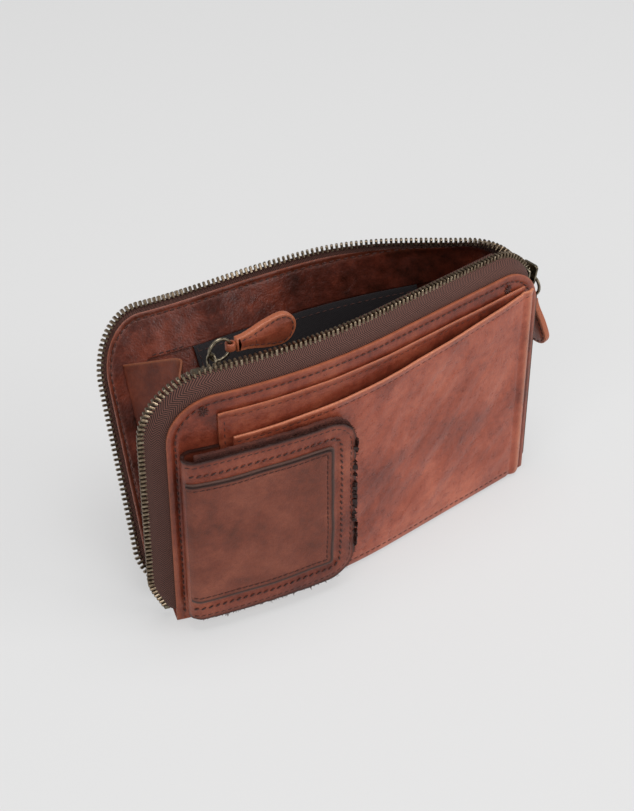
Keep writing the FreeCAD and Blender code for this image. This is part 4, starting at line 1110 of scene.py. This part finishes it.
# %% Flap outline
FLAP_START, FLAP_END = -81.5, -18.0
FLAP_LOW, FLAP_HIGH, FLAP_CORNER = 7.0, 88.0, 12.0
FLAP_IN, FLAP_PLY = 6.2, 1.5
BORDER = 11.0


def flap_limits(u, inset, corner=FLAP_CORNER):
    """Lower and upper edge of the flap at u, drawn in by inset, with its outer corners rounded."""
    radius = max(corner - inset, 0.6)
    centre = FLAP_END - inset - radius
    past = min(max(u - centre, 0.0), radius)
    drop = radius - math.sqrt(radius * radius - past * past)
    return FLAP_LOW + inset + drop, FLAP_HIGH - inset - drop


def flap_u(s, inset, start=FLAP_START, corner=FLAP_CORNER):
    """u along the flap, with columns crowded at its round corners."""
    radius = max(corner - inset, 0.6)
    straight = FLAP_END - inset - radius - start
    run = s * (straight + radius * math.pi / 2.0)
    return start + min(run, straight) + radius * math.sin(max(run - straight, 0.0) / radius)


def flap_wave(u, z):
    """The flap's own slow waviness, shared by its plies."""
    return 0.7 * ripple(u, z, 38.0, 21.0) * smooth((u - FLAP_START) / 20.0)


def ragged(u, z):
    """A broken raw edge."""
    return 0.35 * ripple(u, z, 1.6, 31.0) + 0.3 * ripple(u, z, 5.0, 32.0)


def follow_flap(piece):
    """Bake the placement of a flap piece into its mesh."""
    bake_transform(piece)


# %% Flap plies
def flap_suede(s, t):
    u = flap_u(s, 0.0)
    low, high = flap_limits(u, 0.0)
    z = low - 0.4 + (high + 2.2 - low) * t
    edge = max(math.exp(-(high + 1.8 - z) / 1.5), math.exp(-(z - low) / 1.5))
    rough = ragged(u, z) * edge
    return place(FRONT, u + rough * smooth((u + 60.0) / 30.0), z + rough,
                 FLAP_IN + FLAP_PLY + flap_wave(u, z)), (u, z), 0.2


suede_ply = grid_piece("flap_suede_ply", 180, 130, flap_suede, suede, "flap", ["flap_inner"], FLAP_PLY, 0.4)

FOOT_RUN = 11.0
BEND_RUN = 15.0
BEND_REACH = 4.6
FOOT_DEPTH = 0.15
FACE_RUN = FLAP_END - FLAP_START - FLAP_CORNER + FLAP_CORNER * math.pi / 2.0
FLAP_FACE = FLAP_IN + 2.0 * FLAP_PLY + GAP


def flap_section(run):
    """(u, d) of the leather ply's outer face: from its foot, round the bend, along the flap."""
    middle = (FLAP_FACE + FOOT_DEPTH) / 2.0
    if run < FOOT_RUN:
        return FLAP_START + FOOT_RUN - run, FOOT_DEPTH
    if run < FOOT_RUN + BEND_RUN:
        angle = math.pi * (run - FOOT_RUN) / BEND_RUN
        return FLAP_START - BEND_REACH * math.sin(angle), middle - (FLAP_FACE - middle) * math.cos(angle)
    return flap_u((run - FOOT_RUN - BEND_RUN) / FACE_RUN, 0.0), FLAP_FACE


def flap_relief(u, z):
    """Relief of the border: a roll at the raw edge, a groove at each seam."""
    low, high = flap_limits(u, 0.0)
    inset = min(z - low, high - z, FLAP_END - u)
    return 0.25 * ridge(inset, 4.6, 2.4) - 0.3 * ridge(inset, 8.2, 0.9) - 0.2 * ridge(inset, 1.4, 0.4)


def flap_leather(s, t):
    run = s * (FOOT_RUN + BEND_RUN + FACE_RUN)
    u, d = flap_section(run)
    low, high = flap_limits(u, 0.0)
    if run < FOOT_RUN + BEND_RUN:
        low, high = FLAP_LOW + 2.0 * (1.0 - run / (FOOT_RUN + BEND_RUN)), FLAP_HIGH
    z = low + (high - low) * t
    edge = max(math.exp(-(high - z) / 1.2), math.exp(-(z - low) / 1.2), math.exp(-(FLAP_END - u) / 1.2))
    rough = ragged(u + run, z) * edge * 0.7
    face = smooth((run - FOOT_RUN - BEND_RUN * 0.6) / 8.0)
    d += (flap_wave(u, z) + flap_relief(u, z)) * face
    return place(FRONT, u + rough * smooth((u + 50.0) / 30.0), z + rough, d), (run, z), 1.1 * edge


flap_ply = grid_piece("flap_leather_ply", 230, 130, flap_leather, flap_hide, None,
                      ["flap_outer", "flap_bend", "flap_anchor"], FLAP_PLY, 0.4)
follow_flap(flap_ply)

# %% Flap patch and its seams
def flap_skin(u):
    """Depth of the flap's outer face, which turns round the bend beyond its left end."""
    middle = (FLAP_FACE + FOOT_DEPTH) / 2.0
    beyond = min(max(FLAP_START - u, 0.0) / BEND_REACH, 1.0)
    return middle + (FLAP_FACE - middle) * math.sqrt(1.0 - beyond * beyond)


def patch_shape(inset, lift):
    """A ply on the flap whose edge is drawn in by inset."""
    def shape(s, t):
        start = FLAP_START - 4.0
        u = flap_u(s, inset, start, inset + 2.0)
        low, high = flap_limits(u, inset, inset + 2.0)
        z = low + (high - low) * t
        wavy = 0.5 * ripple(u, z, 15.0, 41.0)
        edge = min(z - low, high - z, FLAP_END - inset - u)
        d = flap_skin(u) + lift + flap_wave(u, z) - 0.3 * ridge(edge, 1.9, 0.45) + 0.12 * ripple(u, z, 12.0,
                                                                                                 44.0)
        wavy *= smooth((u - start) / 4.0)
        return place(FRONT, u + wavy, z + wavy, d), (u, z), 1.1 * math.exp(-edge / 0.7)
    return shape


backing = grid_piece("flap_patch_painted_edge", 90, 90, patch_shape(BORDER - 1.1, 1.0), painted_edge,
                     "flap", [], 1.0, 0.3)
patch = grid_piece("flap_nubuck_patch", 120, 120, patch_shape(BORDER, 1.45), nubuck, "flap", ["flap_patch"],
                   0.9, 0.35)


def flap_line(inset, lift, start, corner):
    """A seam along the flap's top, end and bottom at an inset."""
    line = []
    columns = [flap_u(s, inset, start, corner) for s in steps(0.0, 1.0, 70)]
    lows = [(u, flap_limits(u, inset, corner)[0]) for u in columns]
    highs = [(u, flap_limits(u, inset, corner)[1]) for u in reversed(columns)]
    ends = [(columns[-1], z) for z in steps(lows[-1][1], highs[0][1], 40)[1:-1]]
    for u, z in lows + ends + highs:
        wavy = 0.5 * ripple(u, z, 15.0, 41.0) if inset > 5.0 else 0.0
        line.append((u + wavy, z + wavy, flap_skin(u) + lift + flap_wave(u, z)))
    return seam(FRONT, line)


stitching("flap_edge_seam", [flap_line(2.2, 0.05, FLAP_START - 3.4, FLAP_CORNER)], "flap", pitch=2.8,
          thickness=0.26)
stitching("flap_border_seam", [flap_line(6.4, 0.3, FLAP_START - 3.4, FLAP_CORNER)], "flap", slant=0.45,
          pitch=3.0, thickness=0.42)
stitching("flap_patch_seam", [flap_line(BORDER + 1.9, 1.3, FLAP_START - 3.4, BORDER + 2.0)], "flap",
          pitch=2.6, thickness=0.24)

# %% Frayed fibres
def fringe(name, line, body, pitch=0.55):
    """Short fibres that stand out of a raw edge, along a line of (point, outward) pairs."""
    mesh = bmesh.new()
    for index, (point, along, out) in enumerate(walk(line, pitch)):
        swing = noise.noise_vector(Vector((index * 0.37, 1.7, 2.9)))
        way = (out + swing * 1.1).normalized()
        length = 0.8 + 1.8 * abs(noise.noise(Vector((index * 0.73, 5.1, 0.4))))
        matrix = framed(point + way * length / 2.0, way, along, (length / 2.0, 0.13, 0.13))
        bmesh.ops.create_uvsphere(mesh, u_segments=5, v_segments=3, radius=1.0,
                                  matrix=matrix @ Matrix.Rotation(math.pi / 2.0, 4, "Y"))
    print(name, "fibres:", len(mesh.faces) // 15)
    return finish_piece(name, mesh, suede, body)


def flap_rim(depth):
    """Points round the flap's raw edge at a depth, with their outward directions."""
    rim = []
    columns = [flap_u(s, 0.0) for s in steps(0.0, 1.0, 60)]
    lows = [(u, flap_limits(u, 0.0)[0]) for u in columns]
    highs = [(u, flap_limits(u, 0.0)[1]) for u in reversed(columns)]
    ends = [(columns[-1], z) for z in steps(lows[-1][1], highs[0][1], 30)[1:-1]]
    centre_u, centre_z = FLAP_END - FLAP_CORNER, (FLAP_LOW + FLAP_HIGH) / 2.0
    for u, z in lows + ends + highs:
        point = place(FRONT, u, z, depth + flap_wave(u, z))
        out_u = max(u - centre_u, 0.0)
        out_z = math.copysign(max(abs(z - centre_z) - (FLAP_HIGH - FLAP_LOW) / 2.0 + FLAP_CORNER, 0.001),
                              z - centre_z)
        size = math.hypot(out_u, out_z)
        beyond = place(FRONT, u + out_u / size, z + out_z / size, depth + flap_wave(u, z))
        rim.append((point, (beyond - point).normalized()))
    return rim


for index, depth in enumerate((FLAP_IN + 0.6, FLAP_IN + FLAP_PLY, FLAP_FACE - 0.6)):
    fuzz = fringe("flap_fringe_%d" % (index + 1), flap_rim(depth), "flap")

# %% [markdown]
# ## Keeper on the back
# A small raw-edged leather on the outside of the back takes the flap's stud when the wallet is shut the other
# way round. Only its edge shows from the front.

# %% Keeper
def keeper(s, t):
    u = -72.0 - 16.0 * s
    z = 76.0 + 16.0 * t
    rough = 0.35 * ripple(u, z, 1.8, 51.0) * (1.0 if min(s, t, 1.0 - s, 1.0 - t) < 0.04 else 0.0)
    return place(BACK, u + rough, z + rough, 1.5 + 0.2 * ripple(u, z, 8.0, 52.0)), (u, z), 0.3


patch_on_back = grid_piece("back_keeper", 40, 40, keeper, washed_leather, "back", ["keeper_patch"], 1.4, 0.3)
keeper_places = [(-73.5, z, 1.5) for z in steps(77.5, 90.5, 6)]
keeper_places += [(u, 90.5, 1.5) for u in steps(-75.0, -86.5, 6)]
keeper_places += [(-86.5, z, 1.5) for z in steps(89.0, 77.5, 6)]
keeper_line = seam(BACK, keeper_places)
stitching("back_keeper_seam", [keeper_line], "back", pitch=2.8, thickness=0.26)

# %% [markdown]
# ## Coin pocket
# Behind the front hangs a cloth trough with a zip of its own. The trough is one sheet that goes down, across
# and up again. Its tapes are the same herringbone, and its teeth the same brass.

# %% Coin pocket
COIN_LEFT, COIN_RIGHT = -78.0, 78.0
COIN_WALL = 0.8
COIN_LOW = LEATHER + 2.0 * GAP


def trough(s, t):
    u = COIN_LEFT + (COIN_RIGHT - COIN_LEFT) * s
    front, back = -COIN_FRONT, -COIN_FRONT - COIN_DEPTH
    tall = COIN_TOP - COIN_LOW
    run = t * (2.0 * tall + COIN_DEPTH)
    if run < tall:
        z, d = COIN_TOP - run, front
    elif run < tall + COIN_DEPTH:
        z, d = COIN_LOW, front - (run - tall)
    else:
        z, d = COIN_LOW + run - tall - COIN_DEPTH, back
    return place(FRONT, u, z, d), (u, run), 0.0


pouch = grid_piece("coin_pocket_cloth", 80, 120, trough, lining_cloth, "root", ["coin_pocket"],
                   COIN_WALL - 0.1, 0.15)


def pocket_end(u):
    """The shape of one end of the coin pocket."""
    def shape(s, t):
        d = -COIN_FRONT - COIN_WALL - 0.1 - (COIN_DEPTH - 2.0 * COIN_WALL - 0.2) * s
        z = COIN_LOW + COIN_WALL + GAP + (COIN_TOP - COIN_LOW - COIN_WALL - GAP) * t
        return place(FRONT, u + 0.9 * math.sin(math.pi * s) * (-1.0 if u > 0.0 else 1.0), z,
                     d), (s * COIN_DEPTH, z), 0.0
    return shape


for name, u in (("coin_gusset_left", COIN_LEFT + COIN_WALL), ("coin_gusset_right", COIN_RIGHT - COIN_WALL)):
    end = grid_piece(name + "_cloth", 12, 40, pocket_end(u), lining_cloth, "root", [name], 0.6, 0.1)


def coin_tape(inner, outer):
    """The shape of a coin zip tape between two depths."""
    def shape(s, t):
        u = COIN_LEFT + (COIN_RIGHT - COIN_LEFT) * s
        d = outer + (inner - outer) * t
        lift = 0.4 * math.sin(math.pi * t)
        return place(FRONT, u, COIN_LEVEL + TAPE + lift, d), (u, abs(d - inner)), 0.0
    return shape


tooth_edge = ROW_GAP / 2.0 + TOOTH_WIDTH + GAP
for name, near, far in (("coin_tape_front", -COIN_FRONT, COIN_MIDDLE + tooth_edge),
                        ("coin_tape_back", COIN_MIDDLE - tooth_edge, -COIN_FRONT - COIN_DEPTH)):
    tape = grid_piece(name + "_woven", 90, 6, coin_tape(far, near), zip_tape, "root", [name], TAPE - 0.1,
                      0.12)

coin_line = []
for u in steps(COIN_LEFT + 4.0, COIN_RIGHT - 4.0, 80):
    point = place(FRONT, u, COIN_LEVEL + TAPE / 2.0, COIN_MIDDLE)
    outward = place(FRONT, u, COIN_LEVEL, COIN_MIDDLE + 1.0) - place(FRONT, u, COIN_LEVEL, COIN_MIDDLE)
    coin_line.append((point, outward.normalized()))
coin_stops = []
for index, (point, along, out) in enumerate(walk(coin_line, TOOTH_PITCH / 2.0)):
    coin_stops.append((point + out * (-1.0) ** index * 0.75, along, out))
teeth("coin_zip_teeth", coin_stops, "root", ["coin_teeth"], (0.95, 3.4, 2.3))

# %% [markdown]
# ## Gusset
# One large leather leaf closes the left end. It runs in from the back's edge to a fold and comes back to the
# front. Its top edge is turned and sewn.

# %% Gusset
GUSSET_FRONT_U = COIN_LEFT - 1.4
GUSSET_BACK_U = -HALF + 4.0
GUSSET_DEPTH = LINED - 1.4
gusset_front = [place(FRONT, GUSSET_FRONT_U, z, -COIN_FRONT - COIN_DEPTH) for z in (3.0, 109.0)]
gusset_back = [place(BACK, GUSSET_BACK_U, z, GUSSET_DEPTH) for z in (3.0, SLIP_TOP)]


def gusset(s, t):
    fold = (gusset_front[0] + gusset_back[0]) / 2.0 + Vector((2.0, 0.0, 0.0))
    fold_top = (gusset_front[1] + gusset_back[1]) / 2.0 + Vector((16.0, 0.0, 0.0))
    front_point = gusset_front[0].lerp(gusset_front[1], t)
    fold_point = fold.lerp(fold_top, t)
    back_point = gusset_back[0].lerp(gusset_back[1], t)
    sharp = 0.12
    if abs(s - 0.5) < sharp:
        share = (s - 0.5 + sharp) / (2.0 * sharp)
        near = fold_point.lerp(front_point, 2.0 * sharp)
        far = fold_point.lerp(back_point, 2.0 * sharp)
        point = near.lerp(fold_point, share).lerp(fold_point.lerp(far, share), share)
    elif s < 0.5:
        point = front_point.lerp(fold_point, 2.0 * s)
    else:
        point = fold_point.lerp(back_point, 2.0 * s - 1.0)
    z = 3.0 + 100.0 * t
    point.x += 0.8 * ripple(s * 40.0, z, 22.0, 61.0) * math.sin(math.pi * s)
    top = 100.0 * (1.0 - t)
    # The gusset's lighter top edge and fold are partly rubbing and partly painted highlight.
    wear_highlight_dye = 0.9 * math.exp(-top / 0.8) + 0.3 * ridge(s, 0.5, 0.04)
    point.x -= 0.3 * ridge(top, 3.0, 0.6) - 0.25 * ridge(top, 1.2, 1.0)
    return point, (s * 60.0, z), min(wear_highlight_dye, 1.0)


leaf = grid_piece("gusset_leather", 60, 80, gusset, gusset_hide, None, ["gusset"], 0.8, 0.25)
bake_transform(leaf)
gusset_line = []
for s in steps(0.03, 0.97, 50):
    point = gusset(s, 0.97)[0]
    normal = (gusset(min(s + 0.01, 1.0), 0.97)[0] - gusset(s - 0.01,
                                                           0.97)[0]).cross(Vector((0.0, 0.0,
                                                                                   1.0))).normalized()
    gusset_line.append((point, normal))
gusset_seam = stitching("gusset_seam", [gusset_line], None, thickness=0.26)
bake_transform(gusset_seam)

# %% [markdown]
# ## Cloth
# The slip pocket and the coin pocket's pouch are lining cotton. They, the tapes, the front lining and the
# pocket's ends are not declared here.

# %% [markdown]
# ## Camera, floor and light
# The camera looks down at the wallet's left front from about 37 degrees. The floor is pale and plain. What
# the camera sees of it is evened out by a share of plain pale grey, which lights nothing, so the wallet still
# casts its shadow there. Large soft lamps give the broad highlights of a studio.

# %% Camera
PITCH = math.radians(36.6)
YAW = math.radians(40.58)
DISTANCE = 734.5
SHIFT = (18.5, -18.1)
level = Vector((math.sin(YAW), math.cos(YAW), 0.0))
forward = level * math.cos(PITCH) - upward * math.sin(PITCH)
right = Vector((math.cos(YAW), -math.sin(YAW), 0.0))
above = right.cross(forward)
position = Vector((0.0, 0.0, 50.0)) - forward * DISTANCE - right * SHIFT[0] - above * SHIFT[1]
camera_data = bpy.data.cameras.new("camera")
camera_data.sensor_width = 36.0
camera_data.lens = 77.7
camera_data.clip_start = 0.01
camera = bpy.data.objects.new("camera", camera_data)
camera.location = position * MM
camera.rotation_euler = forward.to_track_quat("-Z", "Y").to_euler()
bpy.context.scene.collection.objects.link(camera)
bpy.context.scene.camera = camera
print("camera at", camera.location[:])

# %% Floor
def backdrop_mix(material, shader_out, shown, amount):
    """Show a share of a plain colour, over the lit surface, to camera, glossy and transmission rays."""
    path = node(material, "ShaderNodeLightPath")
    either = node(material, "ShaderNodeMath", {"operation": "MAXIMUM"}, {},
                  {0: path.outputs["Is Camera Ray"], 1: path.outputs["Is Glossy Ray"]})
    every = node(material, "ShaderNodeMath", {"operation": "MAXIMUM"}, {},
                 {0: either.outputs["Value"], 1: path.outputs["Is Transmission Ray"]})
    share = node(material, "ShaderNodeMath", {"operation": "MULTIPLY"}, {1: amount},
                 {0: every.outputs["Value"]})
    glow = node(material, "ShaderNodeEmission", values={"Color": colour(shown), "Strength": 1.0})
    mixed = node(material, "ShaderNodeMixShader", links={"Fac": share.outputs["Value"]})
    material.node_tree.links.new(shader_out, mixed.inputs[1])
    material.node_tree.links.new(glow.outputs["Emission"], mixed.inputs[2])
    return mixed.outputs["Shader"]


FLOOR_HALF = 3000.0
FLOOR_SHOWN, FLOOR_AMOUNT = "#e6e6e6", 0.62
floor_mesh = bmesh.new()
bmesh.ops.create_grid(floor_mesh, x_segments=1, y_segments=1, size=FLOOR_HALF)
floor_paint, floor_shader = new_material("matt_white_paper", 0.95)
floor_shader.inputs["Base Color"].default_value = colour("#dedede")
floor_out = floor_paint.node_tree.nodes["Material Output"]
floor_mix = backdrop_mix(floor_paint, floor_shader.outputs["BSDF"], FLOOR_SHOWN, FLOOR_AMOUNT)
floor_paint.node_tree.links.new(floor_mix, floor_out.inputs["Surface"])
floor = finish_piece("floor", floor_mesh, floor_paint, None)

# %% Lamps
def lamp(name, location, size, power, tint="#ffffff"):
    """A square soft lamp that faces the middle of the wallet."""
    data = bpy.data.lights.new(name, "AREA")
    data.size = size
    data.energy = power
    data.color = colour(tint)[:3]
    light = bpy.data.objects.new(name, data)
    light.location = location
    light.rotation_euler = (Vector((0.0, 0.0, 0.05)) - Vector(location)).to_track_quat("-Z", "Y").to_euler()
    bpy.context.scene.collection.objects.link(light)


lamp("overhead", (0.1, -0.1, 1.5), 1.0, 13.0)
lamp("left_key", (-1.3, -0.6, 0.9), 0.9, 8.0)
lamp("right_fill", (0.9, -1.2, 0.75), 0.9, 12.0)
world = bpy.data.worlds.new("studio")
bpy.context.scene.world = world
world.use_nodes = True
world.node_tree.nodes["Background"].inputs["Color"].default_value = colour("#e6e6e6")
world.node_tree.nodes["Background"].inputs["Strength"].default_value = 0.3
bpy.context.scene.view_settings.view_transform = "Standard"
